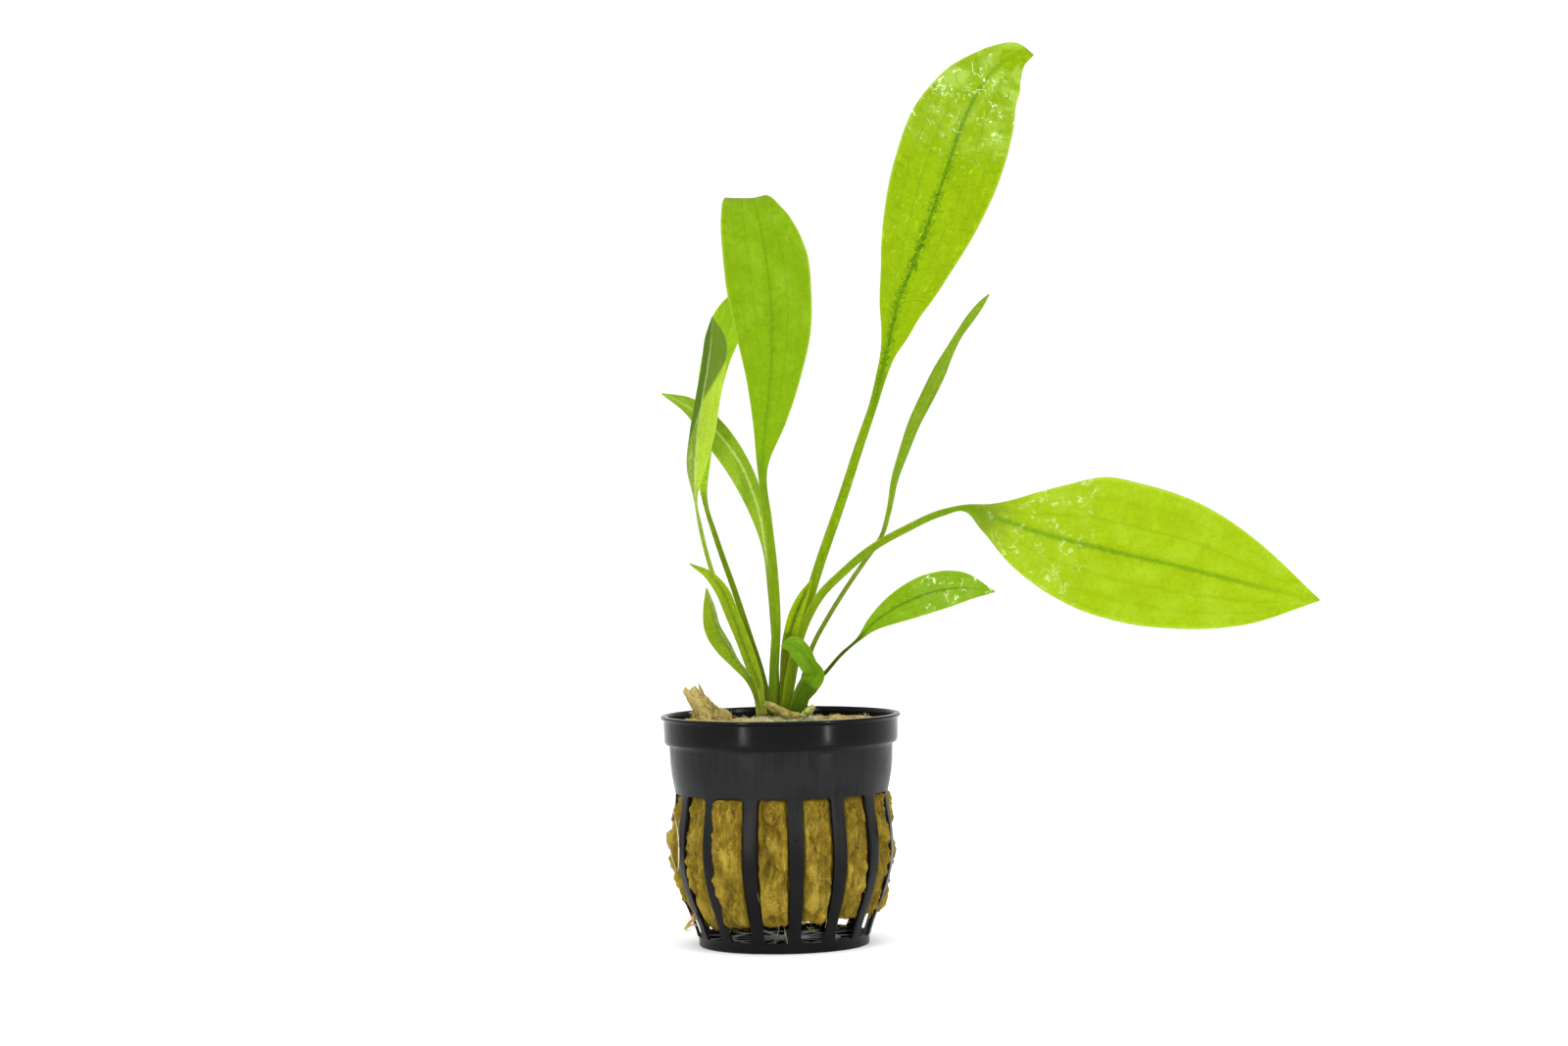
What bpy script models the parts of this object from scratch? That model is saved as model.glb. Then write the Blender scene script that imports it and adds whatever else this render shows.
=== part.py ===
"""A potted amazon sword plant: a slotted nursery pot of black plastic, a plug of mineral wool that
swells out through its slots, and a rosette of twelve leaves that grows from a crown in the wool.

Run with Blender 4.5. The frame has its origin on the surface under the middle of the pot, +Z up,
+X to the right of the plant and +Y away from its front. Dimensions are in millimetres, turned into
metres by MM.
"""

import math
from dataclasses import dataclass

import bmesh
import bpy
import numpy as np
from mathutils import Matrix, Vector

MM = 0.001
GAP = 0.35

# Pot, radii and heights
RIBS = 15
FIRST_RIB = math.radians(6.9)
LIP_RADIUS = 26.0
POT_HEIGHT = 50.0
COLLAR_RADIUS = 25.4
LEDGE_HEIGHT = 43.8
BODY_RADIUS = 24.2
SLOT_TOP = 33.3
SLOT_FOOT = 2.3
BASE_RADIUS = 18.5
WALL = 0.8
RIB_DEPTH = 0.9
RIB_WIDTH = 3.2
RIB_BULGE = ((23.0, SLOT_TOP), (23.8, 27.5), (24.2, 20.6), (22.8, 13.0), (20.8, 7.9), (18.9, SLOT_FOOT))
FLOOR = 1.3
HUB_RADIUS = 5.5
RING_INNER, RING_OUTER = 10.5, 12.3
SPOKE_WIDTH = 1.4

# Mineral wool plug
WOOL_FOOT = 6.0
WOOL_TOP = 48.7
WOOL_SWELL = 1.9
CROWN_RADIUS = 5.6
CROWN_FOOT, CROWN_TOP = 44.0, 49.6
LEAF_FOOT = 50.0

# Leaves
BLADE_HALF_THICKNESS = 0.28
TIP = 0.15
RING_SIDES = 8

SCENE_COLLECTION = "potted_amazon_sword"


@dataclass(frozen=True)
class Leaf:
    """One leaf: its stalk, then its blade along the midrib, in millimetres.

    A stalk point is x, y, z. A blade point is x, y, z and how far the left and the right margin stand
    from the midrib, seen along the way that the leaf faces. lift is how far each margin comes forward
    for each millimetre that it stands out, so two positive values make a channel.
    """

    name: str
    stalk: tuple
    radius: tuple
    blade: tuple
    lift: tuple = (0.2, 0.2)
    faces: tuple = (0.0, -1.0, 0.0)
    colour: tuple = (0.24, 0.46, 0.03)


LEAVES = (
    Leaf(
        "leaf_tall_right",
        ((0.9, 2.4, LEAF_FOOT), (3.8, 4, 64), (7.4, 5, 77), (14.9, 7, 98), (18.7, 8.5, 109),
         (21.6, 9.8, 117)),
        (1.2, 0.95),
        ((23.2, 10.9, 122.5, 1.1, 1.2), (24.6, 11.7, 128.3, 1.3, 2.3), (25.7, 12.2, 132.2, 2.2, 3.8),
         (27.3, 13, 139, 4.2, 6.2), (30.5, 14, 146.5, 7.4, 7.9), (34.6, 15.5, 157, 10.4, 10.3),
         (38.6, 17, 168, 11.7, 11.7), (42.7, 19, 179, 11.0, 11.2), (46.6, 21, 186.6, 8.0, 9.1),
         (51.6, 23, 192.3, 4.0, 6.3), (55.6, 24.8, 194.1, 2.3, 3.0), (58.9, 26, 194.3, TIP, TIP)),
        (0.25, 0.25),
    ),
    Leaf(
        "leaf_upright",
        ((-1.6, -0.9, LEAF_FOOT), (-1.2, -0.8, 60), (-0.6, -0.5, 69), (-1.0, 0, 81.5), (-2.0, 1, 92)),
        (1.1, 0.9),
        ((-3, 2, 103, 1.1, 1.1), (-1.9, 3, 114.5, 3.2, 4.7), (-0.7, 4, 125, 6.0, 7.0),
         (-0.4, 4.5, 132.5, 7.9, 8.4), (-0.6, 5, 141, 9.4, 8.9), (-1.6, 6, 150, 9.5, 8.8),
         (-2.9, 8, 157.5, 8.5, 6.6), (-3.9, 11.5, 162.5, 6.7, 3.8), (-4.3, 15, 162.9, 5.2, 2.8),
         (-4.8, 19, 160.0, TIP, TIP)),
        (0.15, 0.15),
        (0, -1, 1),
    ),
    Leaf(
        "leaf_left_folded",
        ((-4.1, 1.2, LEAF_FOOT), (-7.1, 1.5, 62), (-11.1, 2, 72), (-14.5, 2.5, 81.5), (-16.6, 3, 90)),
        (0.6, 0.45),
        ((-17.7, 3, 97.5, 0.5, 0.5), (-17.6, 3, 103, 1.8, 2.1), (-16.9, 3, 111.5, 1.7, 3.8),
         (-15.7, 3, 119, 1.5, 3.9), (-14.5, 3, 125.5, 1.4, 3.9), (-13.6, 3, 132, 1.3, 3.2),
         (-13.3, 3, 136.4, TIP, TIP)),
        (1.6, 0.6),
    ),
    Leaf(
        "leaf_left_back",
        ((-2.1, 2.3, LEAF_FOOT), (-4.4, 4, 60), (-6.4, 5, 66.5), (-9.7, 7, 77), (-13.4, 9, 88)),
        (0.85, 0.6),
        ((-15.8, 10.5, 96.5, 0.6, 0.6), (-16.4, 12, 105, 1.5, 2), (-14.9, 13, 116, 2.6, 2.2),
         (-12.4, 14, 126.5, 3.8, 2.4), (-9, 15, 136.5, 4.1, 3), (-5.1, 16, 145, TIP, TIP)),
        (0.3, 0.6),
    ),
    Leaf(
        "leaf_left_narrow",
        ((-0.6, 4.9, LEAF_FOOT), (-1.1, 5, 66.5), (-1.8, 5.5, 77)),
        (0.7, 0.6),
        ((-2.7, 6, 85.5, 0.6, 0.6), (-4, 6, 94, 2.1, 1.1), (-5.2, 6, 98, 2.7, 1.8),
         (-7.9, 6.5, 104.5, 3.5, 2.0), (-12.9, 7, 111.5, 3.4, 2.4), (-18.7, 8, 116.8, 1.6, 2.1),
         (-24.8, 9, 120, TIP, TIP)),
        (0.3, 0.9),
    ),
    Leaf(
        "leaf_left_channelled",
        ((-3.9, -2.6, LEAF_FOOT), (-4.2, -2.5, 53)),
        (1, 0.9),
        ((-4.6, -2.5, 56.2, 1, 1.1), (-6.5, -2.5, 61.5, 1.2, 1.7), (-8.1, -2.6, 66.5, 1.3, 1.6),
         (-10.1, -2.8, 72, 1.5, 1.5), (-12.1, -3, 77, 1.5, 1.4), (-14.8, -3.5, 80.5, 1.1, 0.9),
         (-19, -4, 83, TIP, TIP)),
        (0.7, 0.5),
    ),
    Leaf(
        "leaf_left_low",
        ((-4.6, -5.2, LEAF_FOOT), (-5.3, -5.3, 54.5)),
        (0.6, 0.55),
        ((-6.5, -5.5, 58, 1.0, 0.7), (-9.2, -5.8, 61.8, 1.6, 0.6), (-11.6, -6.2, 65.5, 2.4, 1.2),
         (-13.5, -6.6, 69.3, 2.6, 1), (-14.6, -7, 73.5, 1.7, 1), (-15.4, -7.5, 77.8, TIP, TIP)),
        (0.5, 0.5),
    ),
    Leaf(
        "leaf_young",
        ((0.5, -0.3, LEAF_FOOT), (1.0, -0.2, 57), (1.5, 0, 63)),
        (0.9, 1.2),
        ((2.3, 0.2, 67, 1.4, 1.4), (3.6, 0.5, 71, 1.6, 1.4), (5.2, 0.9, 74.8, 1.3, 1.1),
         (7.3, 1.4, 79, TIP, TIP)),
        (0.5, 0.5),
    ),
    Leaf(
        "leaf_wide_right",
        ((1, -2.6, LEAF_FOOT), (2.2, -2.7, 58), (3.8, -2.8, 64.5), (5.8, -3, 70), (9.3, -3.3, 75.9),
         (14, -3.8, 80.5), (20.4, -4.4, 85.7), (27.9, -5, 89.8), (35.3, -5.6, 93.0)),
        (1.1, 0.75),
        ((40.6, -6, 94.0, 0.8, 0.8), (45.8, -6.5, 92.3, 2.8, 3.9), (53.1, -7, 89.6, 7.9, 8.6),
         (60.4, -7.5, 87.3, 12.2, 11.8), (67.0, -7.8, 85.5, 15.2, 13.6), (74.0, -8.1, 83.7, 15.6, 14.3),
         (85.5, -8.5, 80.9, 14.6, 13.6), (102, -9, 76.4, 8.8, 8.6), (116.1, -9.5, 73, TIP, TIP)),
        (-0.1, 0.4),
    ),
    Leaf(
        "leaf_narrow_right",
        ((3.3, 2.6, LEAF_FOOT), (5.2, 3, 57.8), (7.2, 3.5, 64.2), (11, 4, 71), (14.9, 4.5, 77),
         (18.8, 5, 82.5)),
        (0.55, 0.5),
        ((22.7, 5.4, 88, 0.5, 0.5), (24.4, 5.9, 93.5, 0.55, 0.6), (25.9, 6.4, 100.5, 0.85, 0.8),
         (27.8, 6.9, 106, 1.1, 1.1), (30.5, 7.5, 112.9, 1.4, 1.4), (33.2, 8, 118.2, 1.55, 1.6),
         (36.2, 8.5, 124, 1.5, 1.55), (38.2, 9, 127.8, 1.1, 1.1), (40.6, 9.6, 131.8, 0.9, 0.8),
         (43.2, 10.4, 135.4, 1.0, 0.9), (45.7, 11.2, 138.4, 0.8, 0.6), (47.4, 12, 140.6, TIP, TIP)),
        (2.2, -1.6),
    ),
    Leaf(
        "leaf_small_right",
        ((4.9, 0.2, LEAF_FOOT), (6.8, 0, 55.4), (10.1, -0.5, 59), (13.3, -1, 62.6)),
        (0.5, 0.4),
        ((17.4, -1.6, 66.2, 0.5, 0.5), (20.2, -2, 69.2, 1.4, 1.6), (23.4, -2.5, 71.6, 2.4, 2.8),
         (27.7, -3, 73.9, 3.5, 3.8), (33, -3.6, 75.9, 4.1, 4.2), (39.3, -4.3, 76.8, 3.6, 3.3),
         (46.7, -5, 75.9, TIP, TIP)),
        (0.1, 0.4),
    ),
    Leaf(
        "leaf_bent",
        ((3.0, -4.6, LEAF_FOOT), (4.3, -5, 53.5)),
        (1.55, 1.8),
        ((6, -5.4, 56.6, 1.95, 2.5), (7.6, -6, 58.6, 2.0, 2.1), (6.6, -7.2, 61, 2.3, 1.5),
         (4.6, -8, 63.6, 2.2, 1.9), (2.4, -8.5, 65.2, 1.7, 1.8), (0.4, -8.8, 65.1, TIP, TIP)),
        (0.2, 0.2),
    ),
)

DEAD_SHEATH = ((-3.6, -6.9, 53), (-2, -7.2, 52), (0, -7.3, 51), (2, -7.2, 50.2), (4.4, -7, 49.8))
DEAD_SHEATH_RADIUS = 0.5
CUT_STUB = ((5.6, -7.6, 49.9), (6.6, -7.7, 51), (7.5, -7.8, 52.3))
CUT_STUB_RADIUS = 0.7
FLAKE_PLACE = (-16.2, -3.0, 52.5)
FLAKE_HALF_SIZE = (5.6, 3.0, 2.0)
FLAKE_TILT = math.radians(28)

BLACK_PLASTIC = ("black_plastic", (0.012, 0.013, 0.014), 0.35)
MINERAL_WOOL = ("mineral_wool", (0.33, 0.24, 0.06), 0.95)
CROWN_TISSUE = ("crown_tissue", (0.36, 0.38, 0.12), 0.6)
DRY_TISSUE = ("dry_tissue", (0.42, 0.30, 0.10), 0.8)


def clear_scene():
    for obj in list(bpy.data.objects):
        bpy.data.objects.remove(obj)


def collection(name, hidden=False):
    made = bpy.data.collections.new(name)
    bpy.context.scene.collection.children.link(made)
    made.hide_render = hidden
    return made


def material(name, colour, roughness):
    """The material of this name, made the first time that it is asked for."""
    found = bpy.data.materials.get(name)
    if found:
        return found
    made = bpy.data.materials.new(name)
    made.use_nodes = True
    shader = made.node_tree.nodes["Principled BSDF"]
    shader.inputs["Base Color"].default_value = (*colour, 1)
    shader.inputs["Roughness"].default_value = roughness
    shader.inputs["Metallic"].default_value = 0
    made.diffuse_color = (*colour, 1)
    return made


def add(name, mesh, finish, group):
    """An object for the mesh, in the group's collection, with the finish as its material."""
    obj = bpy.data.objects.new(name, mesh)
    group.objects.link(obj)
    mesh.materials.append(material(*finish))
    return obj


def turned(name, profile, steps, finish, group):
    """A solid turned about Z.

    The profile is (radius, height) points that end on the axis and run down its outer side.
    """
    mesh = bpy.data.meshes.new(name)
    edges = [(i, i + 1) for i in range(len(profile) - 1)]
    mesh.from_pydata([(radius * MM, 0, height * MM) for radius, height in profile], edges, [])
    obj = add(name, mesh, finish, group)
    screw = obj.modifiers.new("Turn", "SCREW")
    screw.steps = screw.render_steps = steps
    screw.use_merge_vertices = True
    screw.merge_threshold = 0.01 * MM
    return obj


def made_solid(obj):
    """The object with its modifiers' result as its own mesh, so that its points can be moved."""
    graph = bpy.context.evaluated_depsgraph_get()
    mesh = bpy.data.meshes.new_from_object(obj.evaluated_get(graph))
    mesh.name = obj.name
    obj.modifiers.clear()
    obj.data = mesh
    return obj


def add_wedge(shape, radii, heights, half_widths, turn):
    """A block from one radius to another, with its own half width at each, turned about Z."""
    corners = bmesh.ops.create_cube(shape, size=1)["verts"]
    spin = Matrix.Rotation(turn, 3, "Z")
    for corner in corners:
        outer = int(corner.co.x > 0)
        side = math.copysign(half_widths[outer], corner.co.y)
        height = heights[int(corner.co.z > 0)]
        corner.co = spin @ Vector((radii[outer], side, height)) * MM


def cut(obj, name, wedges, group):
    """Cuts the wedges out of the object."""
    shape = bmesh.new()
    for wedge in wedges:
        add_wedge(shape, *wedge)
    mesh = bpy.data.meshes.new(name)
    shape.to_mesh(mesh)
    shape.free()
    cutter = bpy.data.objects.new(name, mesh)
    group.objects.link(cutter)
    cutter.hide_render = True
    cutter.display_type = "WIRE"
    boolean = obj.modifiers.new(name, "BOOLEAN")
    boolean.object = cutter
    boolean.solver = "EXACT"


def rib_turn(index):
    """The angle of a rib about Z; the ribs are counted from the front of the pot."""
    return FIRST_RIB - math.pi / 2 + index * 2 * math.pi / RIBS


def pot_profile():
    """The pot's wall and floor: from the axis up the inside, over the lip and down the outside."""
    ribs_inside = [(radius - RIB_DEPTH, height) for radius, height in reversed(RIB_BULGE[:-1])]
    inside = [
        (0, FLOOR),
        (BASE_RADIUS - RIB_DEPTH, FLOOR),
        *ribs_inside,
        (BODY_RADIUS - WALL, LEDGE_HEIGHT - 1.8),
        (COLLAR_RADIUS - WALL, LEDGE_HEIGHT),
        (COLLAR_RADIUS - WALL, POT_HEIGHT),
    ]
    outside = [
        (LIP_RADIUS, POT_HEIGHT),
        (LIP_RADIUS, POT_HEIGHT - 0.8),
        (COLLAR_RADIUS, POT_HEIGHT - 1),
        (COLLAR_RADIUS, LEDGE_HEIGHT),
        (BODY_RADIUS, LEDGE_HEIGHT - 0.6),
        *RIB_BULGE,
        (BASE_RADIUS, SLOT_FOOT - 0.3),
        (BASE_RADIUS, 0),
        (0, 0),
    ]
    return inside + outside


def build_pot(group, cutters):
    pot = turned("net_pot", pot_profile(), RIBS * 3, BLACK_PLASTIC, group)
    pot.rotation_euler.z = rib_turn(0)
    pitch = 2 * math.pi / RIBS
    slots = []
    floor_gaps = []
    hub_gaps = []
    for index in range(RIBS):
        middle = rib_turn(index) + pitch / 2
        near, far = 14, 28
        widths = [radius * math.tan(pitch / 2) - RIB_WIDTH / 2 * radius / 24 for radius in (near, far)]
        slots.append(((near, far), (SLOT_FOOT, SLOT_TOP), widths, middle))
        radii = (RING_OUTER, BASE_RADIUS - RIB_DEPTH)
        widths = [radius * math.tan(pitch / 2) - SPOKE_WIDTH / 2 for radius in radii]
        floor_gaps.append((radii, (-1, FLOOR + 1), widths, middle))
        radii = (HUB_RADIUS, RING_INNER)
        widths = [radius * math.tan(pitch / 2) - SPOKE_WIDTH / 2 for radius in radii]
        hub_gaps.append((radii, (-1, FLOOR + 1), widths, middle))
    cut(pot, "wall_slots", slots, cutters)
    cut(pot, "floor_gaps", floor_gaps, cutters)
    cut(pot, "hub_gaps", hub_gaps, cutters)


def build_wool(group):
    """The plug follows the inside of the pot, and swells out between the ribs."""
    cage = [(radius - RIB_DEPTH - GAP, height) for radius, height in RIB_BULGE[1:4]]
    profile = [
        (0, CROWN_FOOT - GAP),
        (CROWN_RADIUS + GAP, CROWN_FOOT - GAP),
        (CROWN_RADIUS + GAP, WOOL_TOP - 0.3),
        (14, WOOL_TOP),
        (COLLAR_RADIUS - WALL - GAP - 0.4, WOOL_TOP - 0.8),
        (BODY_RADIUS - WALL - GAP - 0.3, LEDGE_HEIGHT - 2.4),
        (RIB_BULGE[0][0] - RIB_DEPTH - GAP, SLOT_TOP),
        *cage,
        (18.2, WOOL_FOOT + 1.2),
        (14, WOOL_FOOT),
        (0, WOOL_FOOT + 0.6),
    ]
    wool = made_solid(turned("wool_plug", profile, RIBS * 6, MINERAL_WOOL, group))
    pitch = 2 * math.pi / RIBS
    for vertex in wool.data.vertices:
        radius = math.hypot(vertex.co.x, vertex.co.y)
        height = vertex.co.z / MM
        in_slot = WOOL_FOOT + 2 < height < SLOT_TOP - 2
        turn = math.atan2(vertex.co.y, vertex.co.x) % pitch
        from_rib = min(turn, pitch - turn)
        clear = from_rib > pitch / 6 + 0.01
        if in_slot and clear and radius > 15 * MM:
            swell = WOOL_SWELL * (1 if from_rib > pitch * 0.4 else 0.85) * MM
            vertex.co.xy *= (radius + swell) / radius
    wool.rotation_euler.z = rib_turn(0)


def smooth(stations, spans):
    """Rows on a smooth curve through the stations, with this many to each gap and the last station."""
    rows = np.array(stations, float)
    gaps = np.linalg.norm(np.diff(rows[:, :3], axis=0), axis=1)
    slopes = np.gradient(rows, np.concatenate([[0], np.cumsum(gaps)]), axis=0)
    found = []
    for i, gap in enumerate(gaps):
        for step in range(spans):
            t = step / spans
            found.append(
                (2 * t**3 - 3 * t**2 + 1) * rows[i]
                + (t**3 - 2 * t**2 + t) * gap * slopes[i]
                + (3 * t**2 - 2 * t**3) * rows[i + 1]
                + (t**3 - t**2) * gap * slopes[i + 1]
            )
    return np.array([*found, rows[-1]])


def leaf_stations(leaf):
    """Rows of x, y, z, left, right, half thickness, left lift and right lift from foot to tip."""
    foot, top = leaf.radius
    rows = []
    for i, point in enumerate(leaf.stalk):
        radius = foot + (top - foot) * i / (len(leaf.stalk) - 1)
        rows.append((*point, radius, radius, min(radius, 1.1), 0, 0))
    for i, (*point, left, right) in enumerate(leaf.blade):
        half = 0.8 * top if i == 0 else BLADE_HALF_THICKNESS
        share = min(i, 2) / 2
        rows.append((*point, left, right, min(half, 0.9), leaf.lift[0] * share, leaf.lift[1] * share))
    return rows


def build_leaf(leaf, group):
    """A loft from the round stalk to the thin blade: no modelling tool makes such unlike sections."""
    rows = smooth(leaf_stations(leaf), 2)
    tangents = np.gradient(rows[:, :3], axis=0)
    shape = bmesh.new()
    rings = []
    for row, tangent in zip(rows, tangents):
        along = Vector(tangent).normalized()
        to_left = Vector(leaf.faces).cross(along).normalized()
        forward = along.cross(to_left)
        left, right = (max(value, TIP) for value in row[3:5])
        ring = []
        for side in range(RING_SIDES):
            angle = 2 * math.pi * side / RING_SIDES
            across = math.cos(angle)
            out = (left if across > 0 else right) * abs(across)
            lift = row[6 if across > 0 else 7] * out * (0.4 + 0.6 * abs(across))
            up = lift + math.sin(angle) * max(row[5], 0.1)
            point = Vector(row[:3]) + to_left * math.copysign(out, across) + forward * up
            ring.append(shape.verts.new(point * MM))
        rings.append(ring)
    for lower, upper in zip(rings[:-1], rings[1:]):
        for i in range(RING_SIDES):
            j = (i + 1) % RING_SIDES
            shape.faces.new((lower[i], lower[j], upper[j], upper[i]))
    shape.faces.new(rings[0])
    shape.faces.new(rings[-1])
    bmesh.ops.recalc_face_normals(shape, faces=shape.faces)
    mesh = bpy.data.meshes.new(leaf.name)
    shape.to_mesh(mesh)
    shape.free()
    mesh.shade_smooth()
    add(leaf.name, mesh, (f"{leaf.name}_green", leaf.colour, 0.4), group)


def build_crown(group):
    profile = [
        (0, CROWN_TOP),
        (CROWN_RADIUS - 1.4, CROWN_TOP - 0.2),
        (CROWN_RADIUS, CROWN_TOP - 1.2),
        (CROWN_RADIUS - 0.6, CROWN_FOOT + 1),
        (CROWN_RADIUS - 2, CROWN_FOOT),
        (0, CROWN_FOOT),
    ]
    turned("crown", profile, 20, CROWN_TISSUE, group)


def build_strand(name, points, radius, finish, group):
    """A short round strand along the points."""
    curve = bpy.data.curves.new(name, "CURVE")
    curve.dimensions = "3D"
    curve.bevel_depth = radius * MM
    curve.bevel_resolution = 2
    curve.use_fill_caps = True
    spline = curve.splines.new("POLY")
    path = smooth(points, 2)
    spline.points.add(len(path) - 1)
    for place, point in zip(spline.points, path):
        place.co = (*(point * MM), 1)
    add(name, curve, finish, group)


def build_flake(group):
    """A torn scrap of wool that stands up beside the crown."""
    shape = bmesh.new()
    bmesh.ops.create_icosphere(shape, subdivisions=2, radius=1)
    mesh = bpy.data.meshes.new("wool_flake")
    for vertex in shape.verts:
        taper = 1 - 0.3 * max(0, vertex.co.x)
        size = [half * MM for half in FLAKE_HALF_SIZE]
        vertex.co = (vertex.co.x * size[0], vertex.co.y * size[1] * taper, vertex.co.z * size[2] * taper)
    shape.to_mesh(mesh)
    shape.free()
    flake = add("wool_flake", mesh, MINERAL_WOOL, group)
    flake.location = Vector(FLAKE_PLACE) * MM
    flake.rotation_euler.y = FLAKE_TILT


def main():
    clear_scene()
    plant = collection(SCENE_COLLECTION)
    cutters = collection("cutters", hidden=True)
    build_pot(plant, cutters)
    build_wool(plant)
    build_flake(plant)
    build_crown(plant)
    for leaf in LEAVES:
        build_leaf(leaf, plant)
    build_strand("dead_sheath", DEAD_SHEATH, DEAD_SHEATH_RADIUS, DRY_TISSUE, plant)
    build_strand("cut_stub", CUT_STUB, CUT_STUB_RADIUS, CROWN_TISSUE, plant)


main()
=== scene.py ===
"""The looks of a potted amazon sword plant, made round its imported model.

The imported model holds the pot, the wool plug, the crown and twelve leaves as plain solids. Each class
here builds one of them again as a fine mesh in the same place and gives it its finish: the slotted pot
with rounded ribs, the matted wool with its loose fibres, and leaves with veins, waves and wet patches.
Sizes are in millimetres unless a name says otherwise; MM turns them into metres.
"""

import logging
import math
from dataclasses import dataclass, field
from enum import Enum

import bmesh
import bpy
import numpy as np
from mathutils import Matrix, Vector, noise


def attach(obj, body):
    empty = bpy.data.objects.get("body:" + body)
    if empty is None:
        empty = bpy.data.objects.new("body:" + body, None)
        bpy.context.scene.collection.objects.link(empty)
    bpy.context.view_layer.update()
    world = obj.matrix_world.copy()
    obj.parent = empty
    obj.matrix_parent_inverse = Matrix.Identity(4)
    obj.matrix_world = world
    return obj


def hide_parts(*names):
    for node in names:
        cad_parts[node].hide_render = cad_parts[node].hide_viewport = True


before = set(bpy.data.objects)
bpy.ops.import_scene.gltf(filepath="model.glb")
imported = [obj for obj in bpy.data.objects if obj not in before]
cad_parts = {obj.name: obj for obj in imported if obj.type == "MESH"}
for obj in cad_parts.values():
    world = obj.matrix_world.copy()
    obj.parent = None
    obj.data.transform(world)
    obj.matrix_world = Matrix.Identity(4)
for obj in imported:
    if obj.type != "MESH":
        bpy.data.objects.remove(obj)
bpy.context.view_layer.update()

MM = 0.001
FULL_TURN = 2 * math.pi
LOG = logging.getLogger("sword_plant")

Point = tuple[float, float, float]
Colour = tuple[float, float, float]


class Slot(Enum):
    """The record's material slots."""

    PLASTIC = "black_plastic"
    WOOL = "mineral_wool"
    CROWN = "crown_tissue"
    DRY = "dry_tissue"
    BRIGHT_LEAF = "leaf_bright"
    MID_LEAF = "leaf_mid"


# ---- meshes


def mesh_piece(name: str, points: np.ndarray, faces: list, finish: bpy.types.Material,
               **numbers: np.ndarray) -> bpy.types.Object:
    """Makes a smooth-shaded mesh object.

    Args:
        name: the piece's name.
        points: rows of x, y, z in millimetres.
        faces: tuples of point numbers.
        finish: its material.
        numbers: one number or one vector for each point, stored under its name for the finish to read.

    Returns:
        The new object, in the scene.
    """
    mesh = bpy.data.meshes.new(name)
    mesh.from_pydata((np.asarray(points) * MM).tolist(), [], faces)
    for key, values in numbers.items():
        values = np.ascontiguousarray(values, np.float32)
        kind, part = ("FLOAT_VECTOR", "vector") if values.size > len(points) else ("FLOAT", "value")
        mesh.attributes.new(key, kind, "POINT").data.foreach_set(part, values.ravel())
    shape = bmesh.new()
    shape.from_mesh(mesh)
    bmesh.ops.remove_doubles(shape, verts=shape.verts, dist=1e-7)
    bmesh.ops.recalc_face_normals(shape, faces=shape.faces)
    shape.to_mesh(mesh)
    shape.free()
    mesh.shade_smooth()
    mesh.materials.append(finish)
    piece = bpy.data.objects.new(name, mesh)
    bpy.context.scene.collection.objects.link(piece)
    return piece


def settle(piece: bpy.types.Object, slot: Slot, *nodes: str) -> None:
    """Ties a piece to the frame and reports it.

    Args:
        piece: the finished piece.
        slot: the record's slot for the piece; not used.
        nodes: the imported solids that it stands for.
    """
    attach(piece, "root")
    if nodes:
        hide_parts(*nodes)
    LOG.info("%s: %d faces", piece.name, len(piece.data.polygons))


def smooth(stations: list, spans: int) -> np.ndarray:
    """Interpolates rows of numbers along a smooth curve.

    Args:
        stations: rows that start with x, y, z.
        spans: how many steps each gap between stations is cut into.

    Returns:
        The rows along the curve, ending with the last station.
    """
    rows = np.array(stations, float)
    gaps = np.linalg.norm(np.diff(rows[:, :3], axis=0), axis=1)
    slopes = np.gradient(rows, np.concatenate([[0], np.cumsum(gaps)]), axis=0)
    t = (np.arange(spans) / spans)[:, None]
    found = [
        (2 * t**3 - 3 * t**2 + 1) * rows[i]
        + (t**3 - 2 * t**2 + t) * gap * slopes[i]
        + (3 * t**2 - 2 * t**3) * rows[i + 1]
        + (t**3 - t**2) * gap * slopes[i + 1]
        for i, gap in enumerate(gaps)
    ]
    return np.concatenate([*found, rows[-1:]])


def unit(vectors: np.ndarray) -> np.ndarray:
    """The vectors, each made one long."""
    return vectors / np.linalg.norm(vectors, axis=-1, keepdims=True)


def ease(value: np.ndarray, low: float, high: float) -> np.ndarray:
    """A smooth step from 0 at low to 1 at high."""
    t = np.clip((np.asarray(value, float) - low) / (high - low), 0, 1)
    return t * t * (3 - 2 * t)


def bell(distance: np.ndarray, spread: float) -> np.ndarray:
    """1 at no distance, falling smoothly to nothing past the spread."""
    return np.exp(-((distance / spread) ** 2))


def polar(turn: np.ndarray, radius: np.ndarray, height: np.ndarray) -> np.ndarray:
    """Points at an angle about the pot's axis, a radius from it and a height."""
    turn, radius, height = np.broadcast_arrays(turn, radius, height)
    return np.stack([radius * np.cos(turn), radius * np.sin(turn), height], axis=-1)


def arcs(start: np.ndarray, reach: np.ndarray, bend: np.ndarray, steps: int) -> np.ndarray:
    """Strands that leave their start along reach and bend away more and more.

    Args:
        start: a point for each strand.
        reach: how far a straight strand would go.
        bend: how far from there its end is.
        steps: points on each strand.

    Returns:
        Strands by points by x, y, z.
    """
    return np.stack([start + reach * t + bend * t * t for t in np.linspace(0, 1, steps)], axis=1)


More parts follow.
